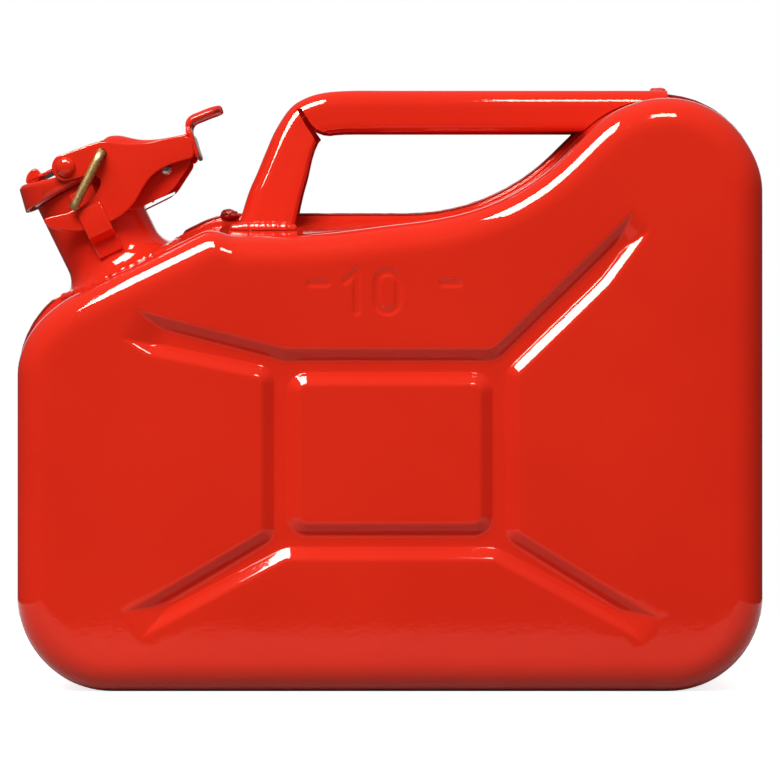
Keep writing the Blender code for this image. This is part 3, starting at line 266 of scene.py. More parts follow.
def mark_distance(points):
    """Signed distance to the pressed capacity number and its two dashes."""
    half = MARK_HALF_STROKE
    ring = np.abs(stroke_distance(points, *ZERO_MIDDLE, ZERO_RADIUS)) - half
    bar = stroke_distance(points, *ONE_BAR, half * ONE_BAR_SHARE)
    flag = stroke_distance(points, *ONE_FLAG, half * ONE_FLAG_SHARE)
    dashes = [stroke_distance(points, (x - DASH_HALF_LENGTH, DASH_HEIGHT),
                              (x + DASH_HALF_LENGTH, DASH_HEIGHT), half)
              for x in DASH_MIDDLES]
    return np.minimum.reduce([ring, bar, flag] + dashes)


def wall_share(distance, full=1.0):
    """0 on the face, full on the groove's floor, with a soft and a tight fillet."""
    a, c = FACE_FILLET, FLOOR_FILLET
    run = GROOVE_DEPTH / WALL_SLOPE
    u = np.clip(distance + a / 2 + run / 2, 0, None)
    rise = np.where(u < a, u * u / (2 * a), u - a / 2) / run
    soft = np.maximum(full, 1e-6) * c / run
    blend = np.clip((rise - full) / soft + 0.5, 0, 1)
    return rise * (1 - blend) + full * blend + soft * blend * (blend - 1) / 2


def pressing(points, side):
    """How far the face is pressed in at each point."""
    full = np.ones(len(points))
    for tip in ARM_TIPS:
        outward = np.array(tip) - (0, PATTERN_HEIGHT)
        short = (tip - points) @ outward / np.hypot(*outward)
        full = np.minimum(full, smooth(short / ARM_TAPER))
    share = wall_share(loop_distance(points, GROOVE_LINE), full)
    share = share * wall_share(panel_distance(points))
    mark = smooth((MARK_RAMP / 2 - mark_distance(points * (-side, 1))) / MARK_RAMP)
    return share * GROOVE_DEPTH + mark * MARK_DEPTH


# Where the face needs its vertices.
WALL_ROWS = (-0.0041, -0.0035, -0.0029, -0.0023, -0.0016, -0.0008, 0.0, 0.0008,
             0.0015, 0.0021, 0.0025, 0.0029, 0.0034)
WALL_SPACING = 0.0016           # between points along a wall
WALL_TURN = math.radians(9)
TIP_SPACING = 0.0014            # between points near an arm's tip
TIP_REACH_SHARE = 1.1           # how far from a tip, in tapers, the points stay close
TIP_CLEAR = 0.0036              # from a groove's edge to the points on its floor
MARK_AREA = ((-0.045, 0.168), (0.045, 0.200))
MARK_SPACING = 0.0007           # between points on the number's edges
MARK_BAND = 0.0016              # half width of the band of points along the number's edges
MARK_CLEAR = 0.003              # from those edges to the points on the flats
FACE_SPACING = 0.006            # between points on the flats, and from them to a wall
ROW_PITCH_SHARE = 0.866         # between two rows of a triangular lattice
CLOSEST_POINTS = 0.00032        # no two points are nearer than this
ROW_TOLERANCE = 0.00012         # a row's point is dropped where it is off its place by this
EDGE_CLEAR = 0.0025             # from the face's edge to the points inside it
INSIDE_FACES_ONLY = 1
MERGE_DISTANCE = 1e-7


def lattice(low, high, spacing):
    """Points of a triangular lattice over a rectangle."""
    columns = np.arange(low[0], high[0], spacing)
    rows = np.arange(low[1], high[1], spacing * ROW_PITCH_SHARE)
    x, z = np.meshgrid(columns, rows)
    x = x + (np.arange(len(rows)) % 2)[:, None] * spacing / 2
    return np.column_stack([x.ravel(), z.ravel()])


def wall_rows(corners, inward):
    """Rows of points along a pressed wall, at set distances from its middle line."""
    line = rounded_outline(corners, WALL_TURN, WALL_SPACING)
    return [np.array([point - normal * reach * inward for point, normal in line])
            for reach in WALL_ROWS]


def thinned(points, closest):
    """The points in order, without those that crowd an earlier one."""
    kept, taken = [], {}
    for point in points:
        cell = (math.floor(point[0] / closest), math.floor(point[1] / closest))
        near = [other for dx in (-1, 0, 1) for dz in (-1, 0, 1)
                for other in taken.get((cell[0] + dx, cell[1] + dz), ())]
        if all(math.dist(point, other) > closest for other in near):
            taken.setdefault(cell, []).append(point)
            kept.append(point)
    return np.array(kept)


def face_points(edge, side):
    """Where the face needs vertices: rows along pressed walls, sparse on the flats."""
    low, high = edge.min(axis=0), edge.max(axis=0)
    walls = []
    for reach, row in zip(WALL_ROWS, wall_rows(GROOVE_CORNERS, 1)):
        walls.append(row[np.abs(loop_distance(row, GROOVE_LINE) - reach) < ROW_TOLERANCE])
    for reach, row in zip(WALL_ROWS, wall_rows(PANEL_CORNERS, -1)):
        walls.append(row[np.abs(panel_distance(row) - reach) < ROW_TOLERANCE])
    marks = lattice(*MARK_AREA, MARK_SPACING)
    marks = marks[np.abs(mark_distance(marks * (-side, 1))) < MARK_BAND]
    tips = lattice(low, high, TIP_SPACING)
    reach = np.min([np.hypot(*(tips - tip).T) for tip in ARM_TIPS], axis=0)
    wall = loop_distance(tips, GROOVE_LINE)
    tips = tips[(reach < ARM_TAPER * TIP_REACH_SHARE) & (wall > TIP_CLEAR)]
    sparse = lattice(low, high, FACE_SPACING)
    wall = np.minimum(np.abs(loop_distance(sparse, GROOVE_LINE)),
                      np.abs(panel_distance(sparse)))
    mark = np.abs(mark_distance(sparse * (-side, 1)))
    sparse = sparse[(wall > FACE_SPACING) & (mark > MARK_CLEAR)]
    points = thinned(np.vstack(walls + [marks, tips, sparse]), CLOSEST_POINTS)
    return points[loop_distance(points, edge) > EDGE_CLEAR]


# The halves, bored for the neck.
NECK_INSET = 0.0461             # from the left end to where the neck leaves the shoulder
BORE_RADIUS = 0.0218            # hole under the neck
BORE_SIDES = 64
FLANGE_CLEAR_RADIUS = 0.0314    # the flange is cut away this far round the neck
FLANGE_STUB = 0.00005           # what is left of it there
NECK_CUT_REACH = 0.020
SMOOTH_BELOW = 32.0             # degrees; a sharper fold keeps its edge
SHELL_SMOOTH_BELOW = 50.0


def shaded(piece, smooth_below=SMOOTH_BELOW):
    """Shade a piece smooth, except where it folds by more than so many degrees."""
    piece.data.shade_smooth()
    piece.data.set_sharp_from_angle(angle=math.radians(smooth_below))
    return piece


def new_piece(name, verts, faces, body=None, nodes=(), smooth_below=SMOOTH_BELOW):
    """A mesh piece that stands for CAD nodes and rides on one body, or else a cutter."""
    mesh = bpy.data.meshes.new(name)
    mesh.from_pydata([tuple(v) for v in verts], [], [tuple(f) for f in faces])
    work = bmesh.new()
    work.from_mesh(mesh)
    bmesh.ops.recalc_face_normals(work, faces=work.faces)
    work.to_mesh(mesh)
    work.free()
    piece = shaded(bpy.data.objects.new(name, mesh), smooth_below)
    bpy.context.scene.collection.objects.link(piece)
    if body:
        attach(piece, body)
        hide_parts(*nodes)
    return piece


def circle(sides):
    """Cosine and sine of even steps round a circle."""
    turns = [2 * math.pi * k / sides for k in range(sides)]
    return [(math.cos(turn), math.sin(turn)) for turn in turns]


def skin(rings, capped=True, looped=False):
    """Vertices and faces of a loft through rings of equal length."""
    count = len(rings[0])
    verts = [point for ring in rings for point in ring]
    faces = []
    for level in range(len(rings) if looped else len(rings) - 1):
        low, high = level * count, ((level + 1) % len(rings)) * count
        faces += [(low + i, low + (i + 1) % count, high + (i + 1) % count, high + i)
                  for i in range(count)]
    if capped and not looped:
        last = (len(rings) - 1) * count
        faces += [tuple(range(count)), tuple(last + i for i in reversed(range(count)))]
    return verts, faces


def apply_cut(piece, cutter, operation="DIFFERENCE"):
    """Cut one mesh with another for good and drop the cutter."""
    modifier = piece.modifiers.new("cut", "BOOLEAN")
    modifier.operation, modifier.solver, modifier.object = operation, "EXACT", cutter
    view = bpy.context.evaluated_depsgraph_get()
    cut_mesh = bpy.data.meshes.new_from_object(piece.evaluated_get(view))
    piece.modifiers.remove(modifier)
    piece.data = cut_mesh
    bpy.data.objects.remove(cutter, do_unlink=True)
    return piece


def shell(name, side):
    """One pressed half with its face, flange and inner skin."""
    outline = body_outline()
    outer = [body_ring(outline, side, row) for row in flange_rows() + shell_rows(0.0)]
    inner = [body_ring(outline, side, row) for row in reversed(shell_rows(-SHELL_WALL))]
    rings = inner + outer
    count = len(outline)
    verts, faces = skin(rings, capped=False)
    edge = np.array([(x, z) for x, _, z in outer[-1]])
    points = np.vstack([edge, face_points(edge, side)])
    flat = geometry.delaunay_2d_cdt([Vector(p) for p in points], [], [list(range(count))],
                                    INSIDE_FACES_ONLY, MERGE_DISTANCE)
    places = np.array([tuple(v) for v in flat[0]])
    depth = pressing(places, side)
    for face_depth, ring_start in ((BODY_DEPTH / 2, len(verts) - count),
                                   (BODY_DEPTH / 2 - SHELL_WALL, 0)):
        number = {}
        for i, (x, z) in enumerate(places):
            source = [k for k in flat[3][i] if k < count]
            if source:
                number[i] = ring_start + source[0]
            else:
                number[i] = len(verts)
                verts.append((x, side * (face_depth - depth[i]), z))
        faces += [tuple(number[i] for i in triangle) for triangle in flat[2]]
    return new_piece(name + "_pressed", verts, faces)


def neck_place(p, y, q):
    """A point of the neck's own frame: p up the shoulder, q along the neck."""
    c, s = math.cos(SHOULDER_TILT), math.sin(SHOULDER_TILT)
    base_z = TOP_HEIGHT - (SHOULDER_RUN - NECK_INSET) * math.tan(SHOULDER_TILT)
    return Vector((NECK_INSET - BODY_WIDTH / 2 + p * c - q * s, y, base_z + p * s + q * c))


def neck_cutter(radius, low, high):
    """A round cutter along the neck's axis."""
    rings = [[neck_place(radius * c, radius * s, height) for c, s in circle(BORE_SIDES)]
             for height in (low, high)]
    return new_piece("neck_cutter", *skin(rings))


# Their enamel.
ENAMEL_RED = (0.71, 0.025, 0.009)
ENAMEL_DEEP = (0.57, 0.017, 0.007)
ENAMEL_ROUGHNESS = 0.03
ENAMEL_PEEL = 0.00002


def socket_group(name, inputs, outputs):
    """A shader node group with its named sockets and its two end nodes."""
    group = bpy.data.node_groups.new(name, "ShaderNodeTree")
    for label, kind in inputs:
        group.interface.new_socket(name=label, in_out="INPUT", socket_type=kind)
    for label, kind in outputs:
        group.interface.new_socket(name=label, in_out="OUTPUT", socket_type=kind)
    return group, group.nodes.new("NodeGroupInput"), group.nodes.new("NodeGroupOutput")


def speckle(tree, scale, detail=2.0):
    """A noise texture that stays with the piece."""
    place = tree.nodes.new("ShaderNodeTexCoord")
    spots = tree.nodes.new("ShaderNodeTexNoise")
    spots.inputs["Scale"].default_value = scale
    spots.inputs["Detail"].default_value = detail
    tree.links.new(place.outputs["Object"], spots.inputs["Vector"])
    return spots


def two_tones(group, given, share, second, result):
    """Blend the group's Colour input into its second colour by a share."""
    blend = group.nodes.new("ShaderNodeMix")
    blend.data_type = "RGBA"
    group.links.new(share, blend.inputs["Factor"])
    group.links.new(given.outputs["Colour"], blend.inputs["A"])
    group.links.new(given.outputs[second], blend.inputs["B"])
    group.links.new(blend.outputs["Result"], result.inputs["Colour"])


def rougher(group, given, share, most, result):
    """Add up to so much to the group's Roughness input by a share."""
    rough = group.nodes.new("ShaderNodeMath")
    rough.operation = "MULTIPLY_ADD"
    rough.inputs[1].default_value = most
    group.links.new(share, rough.inputs[0])
    group.links.new(given.outputs["Roughness"], rough.inputs[2])
    group.links.new(rough.outputs["Value"], result.inputs["Roughness"])


def enamel_skin_group():
    """Slow drift of the enamel's colour and gloss, and its fine orange peel."""
    group, given, result = socket_group(
        "enamel skin",
        [("Colour", "NodeSocketColor"), ("Deep colour", "NodeSocketColor"),
         ("Roughness", "NodeSocketFloat")],
        [("Colour", "NodeSocketColor"), ("Roughness", "NodeSocketFloat"),
         ("Height", "NodeSocketFloat")])
    drift, haze, peel = speckle(group, 11.0), speckle(group, 60.0, 3.0), speckle(group, 420.0, 1.0)
    two_tones(group, given, drift.outputs["Fac"], "Deep colour", result)
    rougher(group, given, haze.outputs["Fac"], 0.04, result)
    group.links.new(peel.outputs["Fac"], result.inputs["Height"])
    return group


enamel_skin = enamel_skin_group()


def skinned(name, skin_group, values, relief):
    """A material dressed by a skin group with its own values, and its shader."""
    material = bpy.data.materials.new(name)
    material.use_nodes = True
    nodes, links = material.node_tree.nodes, material.node_tree.links
    shader = nodes["Principled BSDF"]
    layer = nodes.new("ShaderNodeGroup")
    layer.node_tree = skin_group
    for label, value in values.items():
        layer.inputs[label].default_value = value
    links.new(layer.outputs["Colour"], shader.inputs["Base Color"])
    links.new(layer.outputs["Roughness"], shader.inputs["Roughness"])
    bump = nodes.new("ShaderNodeBump")
    bump.inputs["Distance"].default_value = relief
    links.new(layer.outputs["Height"], bump.inputs["Height"])
    links.new(bump.outputs["Normal"], shader.inputs["Normal"])
    return material, shader


def enamel(name, colour=ENAMEL_RED, deep=ENAMEL_DEEP, roughness=ENAMEL_ROUGHNESS):
    """Glossy red enamel for one piece."""
    values = {"Colour": (*colour, 1), "Deep colour": (*deep, 1), "Roughness": roughness}
    material, shader = skinned(name, enamel_skin, values, ENAMEL_PEEL)
    shader.inputs["Specular Tint"].default_value = (1.0, 0.42, 0.34, 1)
    shader.inputs["IOR"].default_value = 1.45
    return material


def coat(piece, material):
    """Give a piece its finish."""
    piece.data.materials.clear()
    piece.data.materials.append(material)


for shell_name, shell_side in (("front_shell", -1), ("rear_shell", 1)):
    half = shell(shell_name, shell_side)
    apply_cut(half, neck_cutter(BORE_RADIUS, -NECK_CUT_REACH, NECK_CUT_REACH))
    apply_cut(half, neck_cutter(FLANGE_CLEAR_RADIUS, FLANGE_STUB, NECK_CUT_REACH))
    coat(shaded(half, SHELL_SMOOTH_BELOW), enamel(shell_name + "_enamel"))
    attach(half, "can")
    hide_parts(shell_name)


# Seam weld. The two flanges are roller-welded edge to edge, and the bead is ground down
# to a thin, slightly wavy ridge that stops under the neck's foot.
GAP = 0.0003                    # air left between two separate pieces
SEAM_BEAD_RADIUS = 0.0008
SEAM_BEAD_REACH = 0.0017        # how far the bead's middle stands out from the outline
SEAM_BEAD_SINK = 0.0022         # how much lower its two ends lie, next to the neck
SEAM_BEAD_SIDES = 10
SEAM_WAVER = 0.00022            # how far it sways across the can
SEAM_WAVER_PITCH = 90
SEAM_LUMP_SHARE = 0.22          # how much its radius varies, as a share
SEAM_LUMP_PITCH = 240
SEAM_CLEAR_SHARE = 1.05         # the outline is followed from this many clearing radii on
SEAM_PARTS = 3                  # parts in which each step of the outline is split
BAR_END_SHARES = ((0.45, 0.5), (0.85, 0.3))  # radius and place of a rounded end's rings, in radii
# A darker, rougher red enamel: painted shade, put on the seam's bead, the thumb tab's side and the
# toe blob.
PAINTED_SHADE_RED = (0.30, 0.012, 0.010)
PAINTED_SHADE_DEEP = (0.16, 0.010, 0.010)
PAINTED_SHADE_ROUGHNESS = 0.34


def waver(place, pitch):
    """Smooth noise from -1 to 1 at a place, the same on every run."""
    return noise.noise(Vector(place) * pitch)


def swept(path, radii, sides):
    """A round bar along a path, with a radius at each point and rounded ends."""
    points = [Vector(p) for p in path]
    rings, across = [], None
    for i, (here, radius) in enumerate(zip(points, radii)):
        ahead = points[min(i + 1, len(points) - 1)] - points[max(i - 1, 0)]
        ahead.normalize()
        if across is None:
            across = ahead.cross(Vector((0, 1, 0)) if abs(ahead.y) < 0.9 else Vector((1, 0, 0)))
        across = (across - ahead * across.dot(ahead)).normalized()
        other = ahead.cross(across)
        stations = [(radius, 0.0)]
        if i == 0:
            stations = [(radius * thin, -radius * out) for thin, out in BAR_END_SHARES] + stations
        if i == len(points) - 1:
            stations += [(radius * thin, radius * out) for thin, out in BAR_END_SHARES[::-1]]
        rings += [[here + ahead * shift + (across * c + other * s) * size
                   for c, s in circle(sides)] for size, shift in stations]
    return skin(rings)


def seam_path():
    """Points along the seam's bead, from one side of the neck round to the other."""
    reach = SEAM_BEAD_REACH
    ring = body_ring(body_outline(), 1, (0.0, reach, reach, reach - SEAM_RECESS))
    root = neck_place(0, 0, 0)
    clear = FLANGE_CLEAR_RADIUS + GAP
    order = [i for i, p in enumerate(ring)
             if (Vector(p) - root).length > clear * SEAM_CLEAR_SHARE]
    jump = next((k + 1 for k in range(len(order) - 1) if order[k + 1] - order[k] > 1), 0)
    places = [Vector(ring[i]) for i in order[jump:] + order[:jump]]
    low = reach - SEAM_BEAD_SINK
    return [neck_place(-clear, 0, low)] + places + [neck_place(clear, 0, low)]


seam = seam_path()
seam_fine = [a.lerp(b, k / SEAM_PARTS) for a, b in zip(seam, seam[1:])
             for k in range(SEAM_PARTS)] + [seam[-1]]
seam_fine = [p + Vector((0, SEAM_WAVER * waver(p, SEAM_WAVER_PITCH), 0)) for p in seam_fine]
seam_radii = [SEAM_BEAD_RADIUS * (1.0 + SEAM_LUMP_SHARE * waver(p, SEAM_LUMP_PITCH))
              for p in seam_fine]
seam_weld = new_piece("seam_bead", *swept(seam_fine, seam_radii, SEAM_BEAD_SIDES), "can",
                      ["seam_weld"])
red = enamel("red_enamel")
painted_shade_red = enamel("painted_shade_enamel", PAINTED_SHADE_RED, PAINTED_SHADE_DEEP, PAINTED_SHADE_ROUGHNESS)
# The seam's bead takes the darker red: painted shade on the ridge.
coat(seam_weld, painted_shade_red)


# Filler neck. A drawn tube whose foot flares onto the shoulder, with a lumpy weld bead
# round the foot, a rolled ring on the mouth and a thin air pipe down the inside.
NECK_RADIUS = 0.0230
NECK_WALL = 0.0012
NECK_HEIGHT = 0.0424
NECK_FOOT_RADIUS = 0.0298       # where the flare meets the shoulder
NECK_FOOT_HEIGHT = 0.0095       # where the flare starts
NECK_SEAT = FLANGE_STUB + GAP   # height of the foot above the shoulder's seam line
NECK_LIP = 0.0003               # bevel round the mouth
NECK_SIDES = 160
FLARE_STEPS = 12
NECK_BEAD_RADIUS = 0.0020
NECK_BEAD_OUT = 0.0004          # how far the bead's middle lies outside the foot's rim
NECK_BEAD_SINK = 0.0006         # and how far under that line
NECK_BEAD_LUMPS = 0.55          # how much its thickness varies, as a share
NECK_BEAD_PITCH = 13
RING_TUBE_RADIUS = 0.0015       # half thickness of the rolled ring
RING_SIDES = 12
BREATHER_RADIUS = 0.0046
BREATHER_WALL = 0.0008
BREATHER_TOP = 0.036            # height of the pipe's upper end
BREATHER_DEPTH = 0.060          # depth of its lower end inside the body
BREATHER_LIP = 0.0002
BREATHER_SIDES = 32
STEEL_GREY = (0.52, 0.50, 0.49)
STEEL_DULL = (0.26, 0.24, 0.24)
STEEL_ROUGHNESS = 0.28
STEEL_GRAIN = 900.0
STEEL_RELIEF = 0.00003


def lathe(profile_at, sides, centre=0.0):
    """A closed profile of radius and height turned about the neck's axis, in its frame."""
    rings = []
    for k in range(sides):
        angle = 2 * math.pi * k / sides
        rings.append([(centre + radius * math.cos(angle), radius * math.sin(angle), height)
                      for radius, height in profile_at(angle)])
    return skin(rings, looped=True)


def neck_piece(name, shape, body=None, nodes=(), smooth_below=SMOOTH_BELOW):
    """A piece drawn in the neck's own frame."""
    verts, faces = shape
    return new_piece(name, [neck_place(*v) for v in verts], faces, body, nodes, smooth_below)


def shoulder_drop(across):
    """How far the shoulder lies below its seam line at a distance from the seam."""
    side, top, _ = drawn_row(abs(across))
    return -side - (top - side) * SHOULDER_CROWN_SHARE


def neck_profile(angle):
    """The neck's wall: outer side down, flared foot, inner side up."""
    r, wall, foot, lip = NECK_RADIUS, NECK_WALL, NECK_FOOT_HEIGHT, NECK_LIP
    flare = NECK_FOOT_RADIUS - r
    outer = [(r, NECK_HEIGHT - lip), (r, foot)]
    for step in range(1, FLARE_STEPS + 1):
        turn = math.pi / 2 * step / FLARE_STEPS
        radius = r + flare * (1 - math.cos(turn))
        drop = shoulder_drop(radius * math.sin(angle)) * (step / FLARE_STEPS) ** 1.5
        outer.append((radius, max(NECK_SEAT + wall / 2, foot * (1 - math.sin(turn))) - drop))
    low = NECK_SEAT - shoulder_drop(NECK_FOOT_RADIUS * math.sin(angle))
    inner_low = NECK_SEAT - shoulder_drop((r - wall) * math.sin(angle))
    return outer + [(r + flare, low), (r - wall, inner_low), (r - wall, NECK_HEIGHT - lip),
                    (r - wall + lip, NECK_HEIGHT), (r - lip, NECK_HEIGHT)]


def ring_profile(radius, height, thick, lumps=0.0):
    """A round section at a radius and height, optionally lumpy round its way."""
    def at(angle):
        """The section at an angle, let down onto the shoulder where it is a lumpy bead."""
        swell = 1 + lumps * waver((math.cos(angle), math.sin(angle), 0.3), NECK_BEAD_PITCH)
        drop = shoulder_drop(radius * math.sin(angle)) if lumps else 0.0
        return [(radius + thick * swell * c, height - drop + thick * swell * s)
                for c, s in circle(RING_SIDES)]
    return at


def pipe_profile(_):
    """The air pipe's wall, the same at every angle."""
    inner, lip = BREATHER_RADIUS - BREATHER_WALL, BREATHER_LIP
    return [(inner, -BREATHER_DEPTH), (BREATHER_RADIUS, -BREATHER_DEPTH),
            (BREATHER_RADIUS, BREATHER_TOP - lip), (BREATHER_RADIUS - lip, BREATHER_TOP),
            (inner + lip, BREATHER_TOP), (inner, BREATHER_TOP - lip)]


def metal_skin_group():
    """Blotches and a fine uneven surface of a bare metal: colour, roughness and height."""
    group, given, result = socket_group(
        "metal skin",
        [("Colour", "NodeSocketColor"), ("Dull colour", "NodeSocketColor"),
         ("Roughness", "NodeSocketFloat"), ("Scale", "NodeSocketFloat")],
        [("Colour", "NodeSocketColor"), ("Roughness", "NodeSocketFloat"),
         ("Height", "NodeSocketFloat")])
    spots = speckle(group, 1.0, 5.0)
    group.links.new(given.outputs["Scale"], spots.inputs["Scale"])
    edge = group.nodes.new("ShaderNodeMapRange")
    edge.inputs["From Min"].default_value = 0.38
    edge.inputs["From Max"].default_value = 0.62
    group.links.new(spots.outputs["Fac"], edge.inputs["Value"])
    two_tones(group, given, edge.outputs["Result"], "Dull colour", result)
    rougher(group, given, edge.outputs["Result"], 0.25, result)
    group.links.new(spots.outputs["Fac"], result.inputs["Height"])
    return group


metal_skin = metal_skin_group()


def bare_metal(name, colour, dull, roughness, grain, relief):
    """An unpainted metal with blotches and a fine uneven surface."""
    values = {"Colour": (*colour, 1), "Dull colour": (*dull, 1), "Roughness": roughness,
              "Scale": grain}
    material, shader = skinned(name, metal_skin, values, relief)
    shader.inputs["Metallic"].default_value = 1.0
    return material


steel = bare_metal("bare_steel", STEEL_GREY, STEEL_DULL, STEEL_ROUGHNESS, STEEL_GRAIN,
                   STEEL_RELIEF)
coat(neck_piece("neck", lathe(neck_profile, NECK_SIDES), "can", ["neck_tube"]), red)
neck_bead = ring_profile(NECK_FOOT_RADIUS + NECK_BEAD_OUT, -NECK_BEAD_SINK, NECK_BEAD_RADIUS,
                         NECK_BEAD_LUMPS)
coat(neck_piece("neck_bead", lathe(neck_bead, NECK_SIDES), "can", ["neck_weld"]), red)
mouth = ring_profile(NECK_RADIUS, NECK_HEIGHT + GAP + RING_TUBE_RADIUS, RING_TUBE_RADIUS)
coat(neck_piece("mouth", lathe(mouth, NECK_SIDES), "can", ["mouth_ring"]), red)
pipe_centre = NECK_RADIUS - NECK_WALL - GAP - BREATHER_RADIUS
coat(neck_piece("air_pipe", lathe(pipe_profile, BREATHER_SIDES, pipe_centre), "can",
                ["breather_tube"]), steel)


# Keepers. On each side of the neck a joggled strap is spot-welded on, and the lever's
# hooks run behind its upper leg; a short lug above it closes the loop.
STRAP_HALF_WIDTH = 0.0062
STRAP_THICKNESS = 0.0016
STRAP_FOOT = 0.0065             # heights up the neck: foot, both ends of the joggle and top
STRAP_BEND_LOW = 0.0144
STRAP_BEND_HIGH = 0.0171
STRAP_TOP = 0.0307
LUG_FOOT = 0.0310
LUG_TOP = 0.0400
LUG_INSET = 0.0012              # from a cheek's inner side to the lug's end
KEEPER_BEND_RADIUS = 0.0006
KEEPER_CLEAR = 0.0004           # air between a cheek and the strap outside it
CHEEK_INNER = 0.0274            # from the can's middle to a lever cheek's inner side
CHEEK_THICKNESS = 0.0020
STRIP_RIM_TURNS = (-1.2, -0.8, -0.4, 0.0, 0.4, 0.8, 1.2)  # angles round a long edge
STRIP_ACROSS_SHARES = (-1, -0.97, -0.92, -0.86, -0.78, -0.5, 0, 0.5, 0.78, 0.86, 0.92, 0.97, 1)
STRIP_END_SHARES = ((1.0, 0.25), (0.7, 0.72))  # place and thickness of a rounded end's rings


def spline(points, per_span):
    """A smooth curve through points of any dimension, from the first to the last."""
    places = [np.array(p, float) for p in points]
    places = [2 * places[0] - places[1]] + places + [2 * places[-1] - places[-2]]
    curve = []
    for a, b, c, d in zip(places, places[1:], places[2:], places[3:]):
        for k in range(per_span):
            t = k / per_span
            curve.append(0.5 * (2 * b + (c - a) * t + (2 * a - 5 * b + 4 * c - d) * t * t
                                + (3 * b - a - 3 * c + d) * t ** 3))
    return curve + [places[-2]]


def rounded_path(points, radius, steps=5):
    """An open path whose inner corners are rounded."""
    path = [np.array(points[0], float)]
    for back, here, ahead in zip(points, points[1:], points[2:]):
        here, back, ahead = (np.array(p, float) for p in (here, back, ahead))
        cut = min(radius, np.linalg.norm(here - back) / 2, np.linalg.norm(ahead - here) / 2)
        start = here + (back - here) / np.linalg.norm(back - here) * cut
        end = here + (ahead - here) / np.linalg.norm(ahead - here) * cut
        for k in range(steps + 1):
            t = k / steps
            path.append((1 - t) ** 2 * start + 2 * t * (1 - t) * here + t * t * end)
    return path + [np.array(points[-1], float)]


def strip(path, halves, thickness, bulge=0.0):
    """A sheet-metal strip along a path of (a, b), across c: rings of (a, c, b).

    Its long edges and its ends are rounded, and its middle may bulge to the left of the
    path's direction.
    """
    places = [Vector(tuple(p)) for p in path]
    half_t = thickness / 2
    rings = []
    for i, here in enumerate(places):
        ahead = (places[min(i + 1, len(places) - 1)] - places[max(i - 1, 0)]).normalized()
        normal = Vector((-ahead.y, ahead.x))
        half = halves[i] if hasattr(halves, "__len__") else halves
        lift = bulge[i] if hasattr(bulge, "__len__") else bulge

        def ring(out, thin):
            """The section moved out past an end, made thinner and as much narrower."""
            shift, t, w = half_t * out, half_t * thin, half - half_t * (2 - thin)
            row = [(w * s, -t) for s in STRIP_ACROSS_SHARES]
            row += [(w + t * math.cos(a), t * math.sin(a)) for a in STRIP_RIM_TURNS]
            row += [(w * s, t) for s in STRIP_ACROSS_SHARES[::-1]]
            row += [(-w - t * math.cos(a), t * math.sin(a)) for a in STRIP_RIM_TURNS[::-1]]
            spots = []
            for c, n in row:
                n += lift * (1 - min(1, abs(c) / max(w, 1e-9)) ** 8)
                place = here + ahead * shift + normal * n
                spots.append((place.x, c, place.y))
            return spots
        if i == 0:
            rings += [ring(-out, thin) for out, thin in STRIP_END_SHARES]
        rings.append(ring(0.0, 1.0))
        if i == len(places) - 1:
            rings += [ring(out, thin) for out, thin in STRIP_END_SHARES[::-1]]
    return skin(rings)


def keeper_shape(points, side):
    """A keeper's strip, its path in distance from the can's middle and height."""
    path = rounded_path(points, KEEPER_BEND_RADIUS, 3)
    verts, faces = strip(path, STRAP_HALF_WIDTH, STRAP_THICKNESS)
    return [(across, side * out, up) for out, across, up in verts], faces


t = STRAP_THICKNESS / 2
strap_near = NECK_RADIUS + GAP + t
strap_far = CHEEK_INNER + CHEEK_THICKNESS + KEEPER_CLEAR + t
strap_path = ((strap_near, STRAP_FOOT + t), (strap_near, STRAP_BEND_LOW),
              (strap_far, STRAP_BEND_HIGH), (strap_far, STRAP_TOP - t))
lug_path = ((CHEEK_INNER - LUG_INSET, LUG_FOOT + t), (strap_near, LUG_FOOT + t),
            (strap_near, LUG_TOP - t))
for word, side in (("front", -1), ("rear", 1)):
    for kind, path in (("strap", strap_path), ("lug", lug_path)):
        name = word + "_keeper_" + kind
        coat(neck_piece(name + "_strip", keeper_shape(path, side), "can", [name]), red)


# Hinge bracket. One folded sheet behind the neck: two side plates with a slotted lower
# edge on the far one, joined by a back web, that carry the steel pin of the lid's hinge.
BRACKET_HALF = 0.0190           # half width over both side plates
BRACKET_THICKNESS = 0.0016
HINGE_ALONG = 0.0404            # the hinge pin's place in the neck's frame
HINGE_UP = 0.0310
HINGE_PIN_RADIUS = 0.0018
HINGE_HEAD_RADIUS = 0.0027
HINGE_HEAD_HEIGHT = 0.0012
HINGE_HEAD_RIM = 0.0002         # height of a head's upright rim
HINGE_SIDES = 32
SHEET_ROUND = 0.00042           # rounding of a sheet's edges
SHEET_ROUND_STEPS = 5
CUT_OVERRUN = 0.001             # how far a cutter passes the sheet on each side
CUT_SIDES = 32
WEB_INSET = 0.0004              # how much the web stops short of the outside, on each side
BRACKET_LINE = ((0.0156, 0.0203), (0.0378, 0.0203), (0.0528, 0.0292), (0.0496, 0.0348),
                (0.0420, 0.0380), (0.0294, 0.0364), (0.0262, 0.0316), (0.0156, 0.0316))
SLOT_LINE = ((0.0225, 0.0210), (0.0378, 0.0210), (0.0386, 0.0221), (0.0228, 0.0230))
WEB_ALONG = 0.0270
WEB_HEIGHTS = (0.0228, 0.0292)


def softened(points, rounds=2, keep=0.22):
    """A closed outline with its corners cut back a few times."""
    line = [Vector(p) for p in points]
    for _ in range(rounds):
        line = [p for a, b in zip(line, line[1:] + line[:1])
                for p in (a.lerp(b, keep), a.lerp(b, 1 - keep))]
    return line


